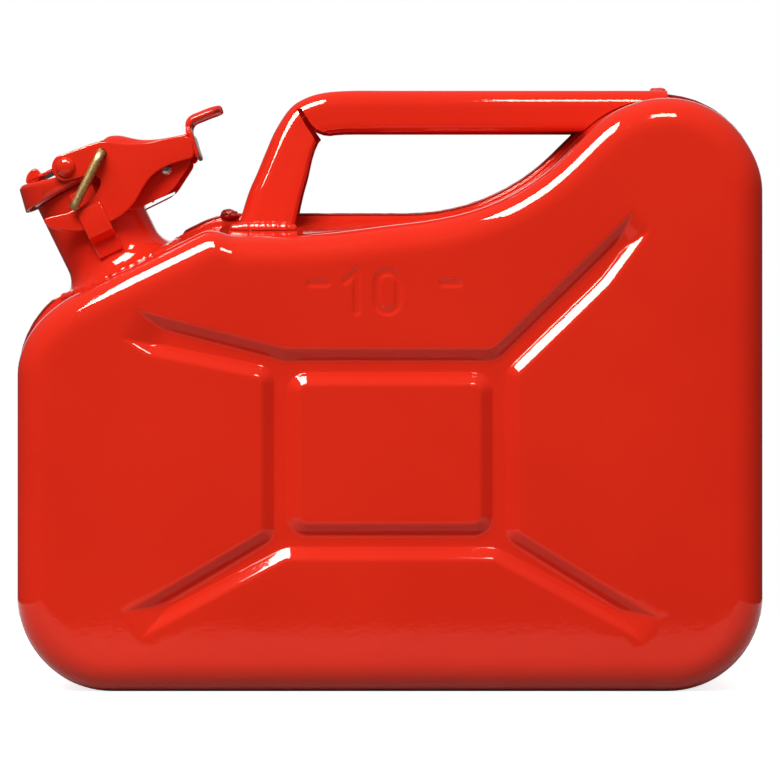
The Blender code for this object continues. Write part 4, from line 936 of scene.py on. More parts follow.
def inset(points, distance):
    """A closed outline moved inwards by a distance."""
    moved = []
    area = sum(a[0] * b[1] - b[0] * a[1] for a, b in zip(points, points[1:] + points[:1]))
    turn = 1.0 if area > 0 else -1.0
    for i, point in enumerate(points):
        here = Vector(point)
        back = (here - Vector(points[i - 1])).normalized()
        ahead = (Vector(points[(i + 1) % len(points)]) - here).normalized()
        mitre = Vector((back.y, -back.x)) + Vector((ahead.y, -ahead.x))
        moved.append(here - mitre * (2 * turn * distance / max(mitre.length_squared, 1.0)))
    return moved


def sheet_plate(outline, low, high, rounding=SHEET_ROUND):
    """A flat plate across the can between two distances, its rims rounded."""
    rings = []
    for side, start in ((1, low), (-1, high)):
        rows = []
        for step in range(SHEET_ROUND_STEPS + 1):
            turn = math.pi / 2 * step / SHEET_ROUND_STEPS
            line = inset(outline, rounding * (1 - math.sin(turn)))
            across = start + side * rounding * (1 - math.cos(turn))
            rows.append([(p.x, across, p.y) for p in line])
        rings += rows if side == 1 else list(reversed(rows))
    return skin(rings)


def round_bar(stations, sides, centre):
    """A solid turned bar across the can; stations are radius and distance across."""
    return skin([[(centre[0] + radius * c, across, centre[1] + radius * s)
                  for c, s in circle(sides)] for radius, across in stations])


def two_headed(half, sides, centre):
    """A pin with the same head at both ends, from the stations of its far half."""
    return round_bar([(radius, -across) for radius, across in reversed(half)] + half, sides,
                     centre)


def drill(piece, radius, low, high, centre):
    """A round hole across the can through a plate between two distances."""
    stations = [(radius, low - CUT_OVERRUN), (radius, high + CUT_OVERRUN)]
    apply_cut(piece, neck_piece("drill", round_bar(stations, CUT_SIDES, centre)))


bracket_line = softened(BRACKET_LINE, 2, 0.12)
for word, low, high in (("near", -BRACKET_HALF, BRACKET_THICKNESS - BRACKET_HALF),
                        ("far", BRACKET_HALF - BRACKET_THICKNESS, BRACKET_HALF)):
    side_plate = neck_piece("bracket_" + word, sheet_plate(bracket_line, low, high), "can",
                            ["hinge_bracket"])
    drill(side_plate, HINGE_PIN_RADIUS + GAP, low, high, (HINGE_ALONG, HINGE_UP))
    if word == "far":
        slot_cut = sheet_plate([Vector(p) for p in SLOT_LINE], low - CUT_OVERRUN,
                               high + CUT_OVERRUN, 0.0)
        apply_cut(side_plate, neck_piece("slot_cut", slot_cut))
    coat(shaded(side_plate), red)
web_path = [(WEB_ALONG, height) for height in WEB_HEIGHTS]
coat(neck_piece("bracket_web", strip(web_path, BRACKET_HALF - WEB_INSET, BRACKET_THICKNESS),
                "can", ["hinge_bracket"]), red)
pin_seat = BRACKET_HALF + GAP
pin_half = [(HINGE_PIN_RADIUS, pin_seat), (HINGE_HEAD_RADIUS * 0.96, pin_seat),
            (HINGE_HEAD_RADIUS, pin_seat + HINGE_HEAD_RIM)]
pin_half += [(HINGE_HEAD_RADIUS * math.cos(turn), pin_seat + HINGE_HEAD_HEIGHT * math.sin(turn))
             for turn in (0.35, 0.7, 1.0, 1.25)]
pin_half += [(HINGE_HEAD_RADIUS * 0.3, pin_seat + HINGE_HEAD_HEIGHT),
             (HINGE_HEAD_RADIUS * 0.22, pin_seat + HINGE_HEAD_HEIGHT * 0.8)]
pin = two_headed(pin_half, HINGE_SIDES, (HINGE_ALONG, HINGE_UP))
coat(neck_piece("hinge_rivet", pin, "can", ["hinge_pin"]), steel)


# Lid. A pressed cap with a rolled rim that rises into a nose at the front, a black
# rubber ring under it, and a folded arm that hinges it and ends in a curled leaf tab.
LID_RADIUS = 0.0266
LID_WALL = 0.0012
LID_ROUND = 0.0024              # rounding of the rim
LID_ROUND_STEPS = 5
LID_LIP = 0.0003
LID_SIDES = 96
LID_SMOOTH_BELOW = 45.0
LID_SKIRT_FOOT = 0.0440         # height of the skirt's lower edge
LID_PLATE_UNDER = 0.0481        # height of the flat middle's underside
LID_PLATE_RADIUS = 0.0215       # where the top meets its rim
NOSE_RISE = 0.0062              # how much higher the rim is at the nose
NOSE_REACH = 0.0022             # how much further out it is there
NOSE_DROP = 0.0010              # how much lower the skirt is there
GASKET_INNER = 0.0195
GASKET_OUTER = 0.0250
GASKET_THICKNESS = 0.0018
GASKET_LIP = 0.0004
RUBBER_GRAIN = 900.0            # speckles per metre
ARM_HALF = 0.0150               # half width over both side plates
ARM_THICKNESS = 0.0014
ARM_EAR_RADIUS = 0.0052         # round end about the hinge pin
ARM_FRONT_UP = 0.0555           # height of the front end's upper corner
ARM_HEEL = (0.0288, 0.0263)     # where the sloping and the level part of the lower edge start
ARM_CHAMFER = 0.0014            # height of the slopes at both ends of its level part
ARM_TOE = 0.0042                # length of the front one
ARM_BEND_RADIUS = 0.003
ARM_WEB_INSET = 0.0002          # how much the web stops short of the outside, on each side
LEAF_HALF = 0.0060              # half width of the curled tab
LEAF_ROUND = 0.0011
LEVER_ALONG = -0.0013           # the cross pin's place in the neck's frame
LEVER_UP = 0.0521
LEVER_END_RADIUS = 0.0065       # round end of a cheek about it
LEVER_PIN_RADIUS = 0.0020
ARM_WEB_LINE = ((-0.0155, 0.0549), (0.0146, 0.0549), (0.0199, 0.0517), (0.0261, 0.0514),
                (0.0295, 0.0495), (0.0361, 0.0442), (0.0398, 0.0404), (0.0433, 0.0352))
LEAF_LINE = ((-0.0124, 0.0553), (-0.0142, 0.0559), (-0.0146, 0.0594), (-0.0167, 0.0602),
             (-0.0202, 0.0590), (-0.0224, 0.0562), (-0.0221, 0.0548), (-0.0182, 0.0535),
             (-0.0124, 0.0536))


def lid_profile(angle):
    """The cap's section at an angle; the nose points down the neck's -x side."""
    nose = max(0.0, -math.cos(angle)) ** 1.5
    under, w, r, plate = LID_PLATE_UNDER, LID_WALL, LID_RADIUS, LID_PLATE_RADIUS
    top, foot = under + w, LID_SKIRT_FOOT - NOSE_DROP * nose
    rise, reach = NOSE_RISE * nose, NOSE_REACH * nose
    skirt = [(r - w + reach + LID_LIP, foot), (r + reach - LID_LIP, foot),
             (r + reach, foot + w / 3)]
    rim = []
    for step in range(LID_ROUND_STEPS + 1):
        turn = math.pi / 2 * step / LID_ROUND_STEPS
        rim.append((r + reach * 0.2 - LID_ROUND * (1 - math.cos(turn)),
                    top - LID_ROUND + rise + LID_ROUND * math.sin(turn)))
    above = [(plate + w, top + rise * 0.95 - w * 0.1 * nose),
             (plate, top + rise * 0.84 - w * 0.3), (plate * 0.9, top + rise * 0.5 - w * 0.35),
             (plate * 0.75, top + rise * 0.1), (plate * 0.6, top), (w, top)]
    below = [(w, under), (plate * 0.75, under), (plate + w, under + rise * 0.55),
             (r - w - reach * 0.1, under + rise * 0.8)]
    return skirt + rim + above + below


def gasket_profile(_):
    """The rubber ring's section, the same at every angle."""
    high, lip = LID_PLATE_UNDER - GAP, GASKET_LIP
    low = high - GASKET_THICKNESS
    return [(GASKET_INNER + lip, low), (GASKET_OUTER - lip, low), (GASKET_OUTER, low + lip),
            (GASKET_OUTER, high - lip), (GASKET_OUTER - lip, high), (GASKET_INNER + lip, high),
            (GASKET_INNER, high - lip), (GASKET_INNER, low + lip)]


def rubber_material():
    """Matt black rubber with a fine bloom."""
    material = bpy.data.materials.new("black_rubber")
    material.use_nodes = True
    nodes, links = material.node_tree.nodes, material.node_tree.links
    shader = nodes["Principled BSDF"]
    grain = speckle(material.node_tree, RUBBER_GRAIN)
    tone = nodes.new("ShaderNodeValToRGB")
    tone.color_ramp.elements[0].color = (0.010, 0.010, 0.011, 1)
    tone.color_ramp.elements[1].color = (0.040, 0.040, 0.042, 1)
    links.new(grain.outputs["Fac"], tone.inputs["Fac"])
    links.new(tone.outputs["Color"], shader.inputs["Base Color"])
    shader.inputs["Roughness"].default_value = 0.7
    return material


lid_cap = neck_piece("lid_cap", lathe(lid_profile, LID_SIDES), "lid", ["lid"])
plug_radius = LID_WALL * 1.5
plug_rings = [[(plug_radius * c, plug_radius * s, height) for c, s in circle(24)]
              for height in (LID_PLATE_UNDER, LID_PLATE_UNDER + LID_WALL)]
apply_cut(lid_cap, neck_piece("lid_middle", skin(plug_rings)), "UNION")
coat(shaded(lid_cap, LID_SMOOTH_BELOW), red)
coat(neck_piece("seal", lathe(gasket_profile, LID_SIDES), "lid", ["lid_gasket"]),
     rubber_material())
arm_seat = LID_PLATE_UNDER + LID_WALL + GAP
arm_top = [(p, q + ARM_THICKNESS / 2) for p, q in ARM_WEB_LINE[1:]]
ear = [(HINGE_ALONG + ARM_EAR_RADIUS * math.cos(a), HINGE_UP + ARM_EAR_RADIUS * math.sin(a))
       for a in np.radians(np.arange(385, 214, -17))]
arm_front = LEVER_ALONG - LEVER_END_RADIUS
arm_under = [(ARM_HEEL[0], arm_seat - ARM_CHAMFER), (ARM_HEEL[1], arm_seat),
             (arm_front + ARM_TOE, arm_seat), (arm_front, arm_seat + ARM_CHAMFER)]
arm_line = softened([(arm_front, ARM_FRONT_UP)] + arm_top + ear + arm_under, 2, 0.15)
for word, low, high in (("near", -ARM_HALF, ARM_THICKNESS - ARM_HALF),
                        ("far", ARM_HALF - ARM_THICKNESS, ARM_HALF)):
    side_plate = neck_piece("arm_" + word, sheet_plate(arm_line, low, high), "lid", ["lid_arm"])
    for radius, centre in ((HINGE_PIN_RADIUS + GAP, (HINGE_ALONG, HINGE_UP)),
                           (LEVER_PIN_RADIUS + GAP, (LEVER_ALONG, LEVER_UP))):
        drill(side_plate, radius, low, high, centre)
    coat(shaded(side_plate), red)
arm_web = strip(rounded_path(ARM_WEB_LINE[:7], ARM_BEND_RADIUS), ARM_HALF - ARM_WEB_INSET,
                ARM_THICKNESS)
coat(neck_piece("arm_web", arm_web, "lid", ["lid_arm"]), red)
leaf = sheet_plate(softened(LEAF_LINE, 3, 0.25), -LEAF_HALF, LEAF_HALF, LEAF_ROUND)
coat(neck_piece("arm_leaf", leaf, "lid", ["lid_arm"]), red)


# Lever. Two hooked cheeks with a crowned web between them, an end web and a thumb tab,
# pressed from one sheet; a cross pin with two painted domes holds it to the lid's arm.
LEVER_LENGTH = 0.060            # from the cross pin to the tail: the shares below are of this
HOOK_SHARES = (
    (0.172, -0.145), (0.192, -0.175), (0.202, -0.210), (0.178, -0.248),
    (0.138, -0.282), (0.085, -0.308), (0.022, -0.322), (-0.062, -0.332),
    (-0.145, -0.325), (-0.242, -0.303), (-0.320, -0.282), (-0.343, -0.312),
    (-0.325, -0.368), (-0.268, -0.418), (-0.178, -0.473), (-0.085, -0.513),
    (0.030, -0.538), (0.148, -0.538), (0.255, -0.527))
CHEEK_SHARES = (
    (0.360, -0.487), (0.423, -0.445), (0.490, -0.398), (0.550, -0.363),
    (0.622, -0.342), (0.738, -0.335), (0.855, -0.355), (0.943, -0.372),
    (0.985, -0.202), (0.905, -0.170), (0.752, -0.128), (0.625, -0.093),
    (0.528, -0.055), (0.440, -0.002), (0.373, 0.042), (0.317, 0.070),
    (0.155, 0.087))
CROWN_PATH_SHARES = ((0.335, 0.052), (0.373, 0.028), (0.440, -0.014), (0.528, -0.068),
                     (0.625, -0.106), (0.752, -0.140), (0.905, -0.178), (0.950, -0.186))
CROWN_BULGES = (0.0002, 0.0030, 0.0040, 0.0034, 0.0020, 0.0008, 0.0003, 0.0002)
TAB_PATH_SHARES = ((0.962, -0.350), (0.972, -0.270), (0.984, -0.200), (0.978, -0.165),
                   (0.992, -0.128), (1.020, -0.098), (1.060, -0.084), (1.120, -0.088),
                   (1.200, -0.094), (1.272, -0.106))
CROWN_INSET = 0.0005            # how much the web stops short of the cheeks' outside
CROWN_THICKNESS = 0.0018
TAB_THICKNESS = 0.0025
TAB_BULGE = 0.0014              # how far the middle of the thumb tab is raised
TAB_INSET = 0.0008              # how much it stops short of the cheeks' outside at its root
TAB_END_ROUND = 0.005           # how much narrower it is at its tip, on each side
THUMB_HALF = 0.0140             # its half width where the thumb pushes
SHADED_SIDE_FACING = 0.75              # a face turned this far to the right takes the darker red: painted shade on the tab's side
LEAN_FROM = 0.0200              # where the cheeks start to lean inwards
LEAN_TO = 0.0580                # where they have come in to LEAN_INNER
LEAN_SOFT = 0.004               # half length of the soft start of the lean
LEAN_FOLD = 0.001               # between the cuts that let the sheet bend there
LEAN_INNER = 0.0206
CHEEK_ROUND = 0.00095           # rounding of the cheeks' edges
CHEEK_SMOOTH_BELOW = 28.0
LEVER_HEAD_RADIUS = 0.0046
LEVER_HEAD_HEIGHT = 0.0035
LEVER_HEAD_RIM = 0.0002
LEVER_SIDES = 48
WIRE_ALONG = 0.0164             # the wire's hole in the neck's frame
WIRE_UP = 0.0502
WIRE_RADIUS = 0.0022
WIRE_CLEAR = 0.0005             # air round the wire in its hole


def lever_line(shares):
    """Points of the lever in the neck's frame."""
    return [(LEVER_ALONG + x * LEVER_LENGTH, LEVER_UP + z * LEVER_LENGTH) for x, z in shares]


def lean(along):
    """How far a cheek has leaned inwards at a distance along the neck's x."""
    slope = (CHEEK_INNER - LEAN_INNER) / (LEAN_TO - LEAN_FROM)
    past, soft = along - LEAN_FROM, LEAN_SOFT
    if past <= -soft:
        return 0.0
    if past >= soft:
        return past * slope
    return slope * (past + soft) ** 2 / (4 * soft)


def leaned(shape):
    """A shape whose sides are bent inwards towards the lever's tail."""
    verts, faces = shape
    work = bmesh.new()
    made = [work.verts.new(v) for v in verts]
    for face in faces:
        work.faces.new([made[i] for i in face])
    for fold in np.arange(LEAN_FROM - LEAN_SOFT, LEAN_FROM + LEAN_SOFT + LEAN_FOLD / 10,
                          LEAN_FOLD):
        everything = work.verts[:] + work.edges[:] + work.faces[:]
        bmesh.ops.bisect_plane(work, geom=everything, plane_co=(fold, 0, 0),
                               plane_no=(1, 0, 0))
    work.verts.index_update()
    for vert in work.verts:
        vert.co.y -= math.copysign(lean(vert.co.x), vert.co.y)
    shape = ([tuple(v.co) for v in work.verts], [[v.index for v in f.verts] for f in work.faces])
    work.free()
    return shape


pivot_arc = [(LEVER_ALONG + LEVER_END_RADIUS * math.cos(a),
              LEVER_UP + LEVER_END_RADIUS * math.sin(a))
             for a in np.radians(np.linspace(105, 262, 15))]
cheek_line = [Vector(p) for p in pivot_arc] + softened(
    [pivot_arc[-1]] + lever_line(HOOK_SHARES + CHEEK_SHARES) + [pivot_arc[0]], 2, 0.25)[2:-6]
cheek_outer = CHEEK_INNER + CHEEK_THICKNESS
for word, low, high in (("near", -cheek_outer, -CHEEK_INNER), ("far", CHEEK_INNER, cheek_outer)):
    cheek_sheet = leaned(sheet_plate(cheek_line, low, high, CHEEK_ROUND))
    cheek = neck_piece("cheek_" + word, cheek_sheet, "lever", ["lever"])
    drill(cheek, LEVER_PIN_RADIUS + GAP, low, high, (LEVER_ALONG, LEVER_UP))
    if word == "near":
        drill(cheek, WIRE_RADIUS + WIRE_CLEAR, low, high, (WIRE_ALONG, WIRE_UP))
    coat(shaded(cheek, CHEEK_SMOOTH_BELOW), red)
crown_rows = [(*p, bulge) for p, bulge in zip(lever_line(CROWN_PATH_SHARES), CROWN_BULGES)]
crown_rows = spline(crown_rows, 5)
crown_halves = [cheek_outer - CROWN_INSET - lean(row[0]) for row in crown_rows]
crown_web = strip([row[:2] for row in crown_rows], crown_halves, CROWN_THICKNESS,
                  [row[2] for row in crown_rows])
coat(neck_piece("crown_web", crown_web, "lever", ["lever"]), red)
tab_path = spline(lever_line(TAB_PATH_SHARES), 5)
tail_half = LEAN_INNER + CHEEK_THICKNESS - TAB_INSET
tab_halves = []
for k in range(len(tab_path)):
    share = k / (len(tab_path) - 1)
    half = tail_half + (THUMB_HALF - tail_half) * fade(share, 0.30, 0.46)
    tab_halves.append(half - TAB_END_ROUND * max(0.0, (share - 0.90) / 0.10) ** 2)
tab_bulges = [TAB_BULGE * fade(k / len(tab_path), 0.35, 0.60) for k in range(len(tab_path))]
tab = strip(tab_path, tab_halves, TAB_THICKNESS, tab_bulges)
thumb_tab = neck_piece("thumb_tab", tab, "lever", ["lever"])
coat(thumb_tab, red)
# The tab's faces that look right take the darker red: painted shade on its side.
thumb_tab.data.materials.append(painted_shade_red)
for face in thumb_tab.data.polygons:
    face.material_index = 1 if face.normal.x > SHADED_SIDE_FACING else 0
dome_seat = cheek_outer + GAP
dome = [(LEVER_PIN_RADIUS, dome_seat), (LEVER_HEAD_RADIUS * 0.97, dome_seat)]
dome += [(LEVER_HEAD_RADIUS * math.cos(turn), dome_seat + LEVER_HEAD_RIM
          + (LEVER_HEAD_HEIGHT - LEVER_HEAD_RIM) * math.sin(turn))
         for turn in np.radians(np.arange(0, 86, 9))]
pin = two_headed(dome, LEVER_SIDES, (LEVER_ALONG, LEVER_UP))
coat(neck_piece("lever_rivet", pin, "lid", ["lever_pin"]), red)


# Safety wire. A bent brass-plated wire through the near cheek: its leg hangs outside,
# and its upset head keeps the stub in from behind.
WIRE_PLANE = 0.0338             # the hanging leg's distance from the can's middle
WIRE_LEG = 0.0285               # from the hole to the leg's tip
WIRE_LEG_ANGLE = math.radians(217.6)  # its direction in the neck's frame
WIRE_BEND_RADIUS = 0.0040
WIRE_STUB_END = 0.0246          # the inner end's distance from the can's middle
WIRE_HEAD_RADIUS = 0.0029
WIRE_HEAD_STATIONS = (0.0002, 0.0010, 0.0012)  # the head's rings, from the inner end
WIRE_BEND_STEPS = 10
WIRE_LEG_STEPS = 8
WIRE_SIDES = 24
BRASS = (0.31, 0.195, 0.075)
BRASS_DULL = (0.13, 0.082, 0.034)
BRASS_ROUGHNESS = 0.34
BRASS_GRAIN = 700.0
BRASS_RELIEF = 0.00012


def wire_shape():
    """The wire's stub, bend and leg."""
    pivot = Vector((WIRE_ALONG, 0, WIRE_UP))
    leg = Vector((math.cos(WIRE_LEG_ANGLE), 0, math.sin(WIRE_LEG_ANGLE)))
    bend, plane = WIRE_BEND_RADIUS, WIRE_PLANE
    path = [pivot + Vector((0, -WIRE_STUB_END - d, 0)) for d in WIRE_HEAD_STATIONS]
    radii = [WIRE_HEAD_RADIUS, WIRE_HEAD_RADIUS, WIRE_RADIUS]
    for step in range(WIRE_BEND_STEPS + 1):
        turn = math.pi / 2 * step / WIRE_BEND_STEPS
        path.append(pivot + Vector((0, bend - plane - bend * math.sin(turn), 0))
                    + leg * bend * (1 - math.cos(turn)))
    path += [pivot + Vector((0, -plane, 0)) + leg * (bend + (WIRE_LEG - bend) * k / WIRE_LEG_STEPS)
             for k in range(1, WIRE_LEG_STEPS + 1)]
    radii += [WIRE_RADIUS] * (len(path) - len(radii))
    return swept(path, radii, WIRE_SIDES)


brass = bare_metal("dull_brass", BRASS, BRASS_DULL, BRASS_ROUGHNESS, BRASS_GRAIN, BRASS_RELIEF)
coat(neck_piece("wire", wire_shape(), "safety_wire", ["safety_wire"]), brass)


# Handle. One sheet folded to a deep channel, open below, bent down to the shoulder with
# a notch cut through both sides of the bend, and trimmed to the body at both ends.
HANDLE_PROUD = 0.0036           # how far it stands above the raised end
HANDLE_TOP = HORN_HEIGHT + HANDLE_PROUD
HANDLE_HEIGHT = 0.0198          # depth of the channel
HANDLE_HALF = 0.0150
HANDLE_FOOT_HALF = 0.0252       # half width at the foot
HANDLE_WALL = 0.0015
HANDLE_CROWN_RADIUS = 0.0085    # rounding along the back
HANDLE_CURL = 0.0030            # rounding of the curled lower edges
HANDLE_END_INSET = 0.0428       # from the can's right end to the handle's
HANDLE_RIGHT = BODY_WIDTH / 2 - HANDLE_END_INSET
FOOT_INSET = 0.0048             # from the shoulder's bend to the foot
HANDLE_FOOT_X = SHOULDER_RUN - BODY_WIDTH / 2 + FOOT_INSET
FOOT_EDGES = (0.0025, 0.0295)   # the foot's back and open side
FOOT_LOW = 0.2105               # it is drawn down to here, then trimmed to the body
HANDLE_BEND_RUN = 0.0575        # length of the bend along the can
WIDEN_SHARES = (0.80, 0.966)    # share of the height where it starts to widen, and over which
NOTCH_REACH = 0.040             # length of a notch's cutter
SEAM_RIDGE_HALF = 0.0012        # half width of the seam's ridge that it clears
HANDLE_SMOOTH_BELOW = 30.0
HANDLE_BEND_SHARES = (
    ((0.780, 0.985), (0.900, 0.668)), ((0.620, 0.942), (0.820, 0.660)),
    ((0.490, 0.860), (0.765, 0.640)), ((0.372, 0.690), (0.720, 0.605)),
    ((0.295, 0.523), (0.672, 0.490)), ((0.222, 0.350), (0.632, 0.325)),
    ((0.145, 0.172), (0.585, 0.160)))
NOTCH_SHARES = (
    (0.545, 0.852), (0.584, 0.852), (0.660, 0.738), (0.705, 0.690), (0.760, 0.668),
    (0.830, 0.658), (0.860, 0.600), (0.860, 0.560), (0.722, 0.560), (0.676, 0.640),
    (0.618, 0.725))
FAR_NOTCH_SHARES = (
    (0.680, 0.715), (0.700, 0.690), (0.760, 0.668), (0.830, 0.658), (0.860, 0.600),
    (0.860, 0.560), (0.780, 0.560), (0.735, 0.640))


def handle_point(shares):
    """A point near the handle's bend from its shares."""
    return (HANDLE_FOOT_X + HANDLE_BEND_RUN * shares[0],
            TOP_HEIGHT + (HANDLE_TOP - TOP_HEIGHT) * shares[1])


def handle_rows():
    """Outer point, inner point and half width along the handle, right to left."""
    low, bend = HANDLE_TOP - HANDLE_HEIGHT, HANDLE_FOOT_X + HANDLE_BEND_RUN
    rows = [(x, HANDLE_TOP, x, low, HANDLE_HALF)
            for x in np.linspace(HANDLE_RIGHT, bend, 10)]
    start, run = WIDEN_SHARES
    for outer, inner in HANDLE_BEND_SHARES:
        widened = min(1.0, max(0.0, (start - outer[1]) / run))
        half = HANDLE_HALF + (HANDLE_FOOT_HALF - HANDLE_HALF) * widened
        rows.append((*handle_point(outer), *handle_point(inner), half))
    outer, inner = (HANDLE_FOOT_X + edge for edge in FOOT_EDGES)
    rows.append((outer, FOOT_LOW, inner, FOOT_LOW, HANDLE_FOOT_HALF))
    return spline(rows, 5)


def channel_ring(row):
    """The folded channel's section at one station."""
    start, end = Vector((row[0], 0, row[1])), Vector((row[2], 0, row[3]))
    depth, half = (end - start).length, row[4]
    inward = (end - start) / depth
    t, curl, crown = HANDLE_WALL, HANDLE_CURL, HANDLE_CROWN_RADIUS

    def rail(wall):
        """One side of the section, from the curled edge up to the crown's middle."""
        side = [(depth - wall - (curl - wall) * (1 - math.cos(a)),
                 half - curl + (curl - wall) * math.sin(a)) for a in np.radians((0, 30, 60, 90))]
        side += [(depth * s, half - wall) for s in (0.75, 0.6)]
        side += [(crown - (crown - wall) * math.sin(a), half - crown + (crown - wall)
                  * math.cos(a)) for a in np.radians(np.linspace(0, 90, 9))]
        return side
    outside, inside = rail(0.0), rail(t)
    loop = outside + [(d, -y) for d, y in reversed(outside)]
    loop += [(d, -y) for d, y in inside] + list(reversed(inside))
    return [start + inward * d + Vector((0, y, 0)) for d, y in loop]


def body_envelope(clearance):
    """The closed outside of the body with its seam, grown by a clearance."""
    outline = body_outline()
    bead = SEAM_BEAD_REACH + SEAM_BEAD_RADIUS + clearance
    ridge = SEAM_RIDGE_HALF + clearance
    rows = shell_rows(clearance)
    half = [(ridge, bead, bead, bead - SEAM_RECESS), (ridge,) + rows[0][1:]] + rows[1:]
    rings = [body_ring(outline, -1, row) for row in reversed(half)]
    return skin(rings + [body_ring(outline, 1, row) for row in half])


def trimmed(piece, clearance=GAP):
    """A piece cut back to clear the body."""
    return apply_cut(piece, new_piece("envelope", *body_envelope(clearance)))


handle = new_piece("handle_channel", *skin([channel_ring(row) for row in handle_rows()]), "can",
                   ["handle"])
for shares, low, high in ((NOTCH_SHARES, -NOTCH_REACH, 0.0), (FAR_NOTCH_SHARES, 0.0, NOTCH_REACH)):
    notch_line = [Vector(handle_point(share)) for share in shares]
    apply_cut(handle, new_piece("notch", *sheet_plate(notch_line, low, high, 0.0)))
coat(shaded(trimmed(handle), HANDLE_SMOOTH_BELOW), red)


# Handle welds. A fat, lumpy bead runs along each side of the handle's foot, with a blob
# where its back meets the seam and another at the right-hand end; all painted over.
FOOT_BEAD_RADIUS = 0.0040
FOOT_BEAD_Y = HANDLE_FOOT_HALF + GAP + FOOT_BEAD_RADIUS
FOOT_BEAD_INSET = 0.0018        # from the handle's foot point to the bead's end
FOOT_BEAD_LENGTH = 0.0290
FOOT_BEAD_STEPS = 80
FOOT_BEAD_SIDES = 20
FOOT_BEAD_WANDER = (0.0002, 0.0003)  # how far it sways across and up
TOE_BLOB_PLACE = (HANDLE_FOOT_X - 0.0004, 0, TOP_HEIGHT + 0.0016)
TOE_BLOB_RADII = (0.0044, 0.0065, 0.0026)
END_BLOB_PLACE = (HANDLE_RIGHT - 0.0038, 0, HORN_HEIGHT + 0.0012)
END_BLOB_RADII = (0.0046, 0.0085, 0.0042)
BLOB_STEPS = 20
BLOB_SIDES = 32
BLOB_LUMPS = 0.30               # how much a blob's size varies, as a share
WELD_SMOOTH_BELOW = 40.0


def foot_bead(side):
    """The bead along one side wall of the handle's foot."""
    height = TOP_HEIGHT + drawn_row(FOOT_BEAD_Y)[1] + FOOT_BEAD_RADIUS * 0.05
    sway, rise = FOOT_BEAD_WANDER
    path, radii = [], []
    for k in range(FOOT_BEAD_STEPS + 1):
        share = k / FOOT_BEAD_STEPS
        x = HANDLE_FOOT_X + FOOT_BEAD_INSET + FOOT_BEAD_LENGTH * share
        lump = waver((x, side, 0), 260) + 0.7 * waver((x, side, 3), 620)
        ends = math.sin(math.pi * (0.12 + 0.76 * share)) ** 0.5
        path.append((x, side * (FOOT_BEAD_Y + sway * waver((x, 5, side), 150)),
                     height + rise * waver((x, 9, side), 180)))
        radii.append(FOOT_BEAD_RADIUS * (0.95 + 0.22 * lump) * ends)
    return swept(path, radii, FOOT_BEAD_SIDES)


def weld_blob(centre, radii):
    """A lumpy drop of weld with its half sizes along x, y and z."""
    rings = []
    for step in range(1, BLOB_STEPS):
        turn = math.pi * step / BLOB_STEPS
        ring = []
        for c, s in circle(BLOB_SIDES):
            out = Vector((math.sin(turn) * c, -math.cos(turn), math.sin(turn) * s))
            swell = 1 + BLOB_LUMPS * waver(out + Vector(centre) * 40, 1.9)
            ring.append(Vector(centre) + Vector(radii) * out * swell)
        rings.append(ring)
    return skin(rings)


for word, side in (("front", -1), ("rear", 1)):
    bead = new_piece(word + "_foot_bead", *foot_bead(side), "can", [word + "_foot_weld"])
    coat(shaded(trimmed(bead), WELD_SMOOTH_BELOW), red)
toe = new_piece("toe_blob", *weld_blob(TOE_BLOB_PLACE, TOE_BLOB_RADII), "can", ["toe_weld"])
end = new_piece("end_blob", *weld_blob(END_BLOB_PLACE, END_BLOB_RADII), "can", ["end_weld"])
# The toe blob takes the darker red: painted shade where the handle's back meets the seam.
coat(shaded(trimmed(toe), WELD_SMOOTH_BELOW), painted_shade_red)
coat(shaded(trimmed(end), WELD_SMOOTH_BELOW), red)


# Floor, lights and camera. The can stands on white paper in a white room. A broad soft
# box up on the left lights it, and two small ones show only as streaks in its gloss.
# The camera is a long way off and level with the middle of the can.
SWEEP_HALF = (0.5, 0.6)         # half sizes of the paper
LAMPS = (
    # name, place, size, radiance, lights the surface, shows in the gloss
    ("top_fill", (-0.85, -2.05, 2.25), (1.6, 1.2), 15.6, True, False),
    ("key_strip", (-0.211, -0.218, 0.576), (0.262, 0.20), 75.0, False, True),
    ("right_strip", (0.138, -0.43, 0.754), (0.152, 0.13), 60.0, False, True),
)
ROOM_TONES = ((0.0, 0.10), (0.50, 0.16), (0.95, 0.90))  # share of the height, and grey
MIRRORED_DIM = 0.65             # how much darker the room is in the gloss
WHITE_WALL = (("Y", 0.88, 0.94), ("Z", 0.04, 0.09))  # where the far wall is mirrored white
CAMERA_DISTANCE = 2.0675
CAMERA_HEIGHT = 0.13907
FRAME_WIDTH = 0.3702            # what the picture takes in across at the can's middle
SENSOR = 36.0
camera_data = bpy.data.cameras.new("camera")
camera_data.sensor_width = SENSOR
camera_data.lens = SENSOR * CAMERA_DISTANCE / FRAME_WIDTH
camera = bpy.data.objects.new("camera", camera_data)
camera.location = (0, -CAMERA_DISTANCE, CAMERA_HEIGHT)
camera.rotation_euler = (math.radians(90), 0, 0)
bpy.context.scene.collection.objects.link(camera)
bpy.context.scene.camera = camera


def soft_box(name, place, size, radiance, lights_diffuse, shows_in_gloss):
    """A rectangular lamp aimed at the can, either a fill or a strip seen in the gloss."""
    data = bpy.data.lights.new(name, "AREA")
    data.shape, data.size, data.size_y = "RECTANGLE", size[0], size[1]
    data.energy = radiance * math.pi * size[0] * size[1]
    lamp = bpy.data.objects.new(name, data)
    lamp.location = place
    away = (lamp.location - Vector((0, 0, CAMERA_HEIGHT))).normalized()
    along = (Vector((1, 0, 0)) - away * away.x).normalized()
    lamp.rotation_euler = Matrix((along, away.cross(along), away)).transposed().to_euler()
    lamp.visible_diffuse, lamp.visible_glossy = lights_diffuse, shows_in_gloss
    bpy.context.scene.collection.objects.link(lamp)


for lamp_values in LAMPS:
    soft_box(*lamp_values)


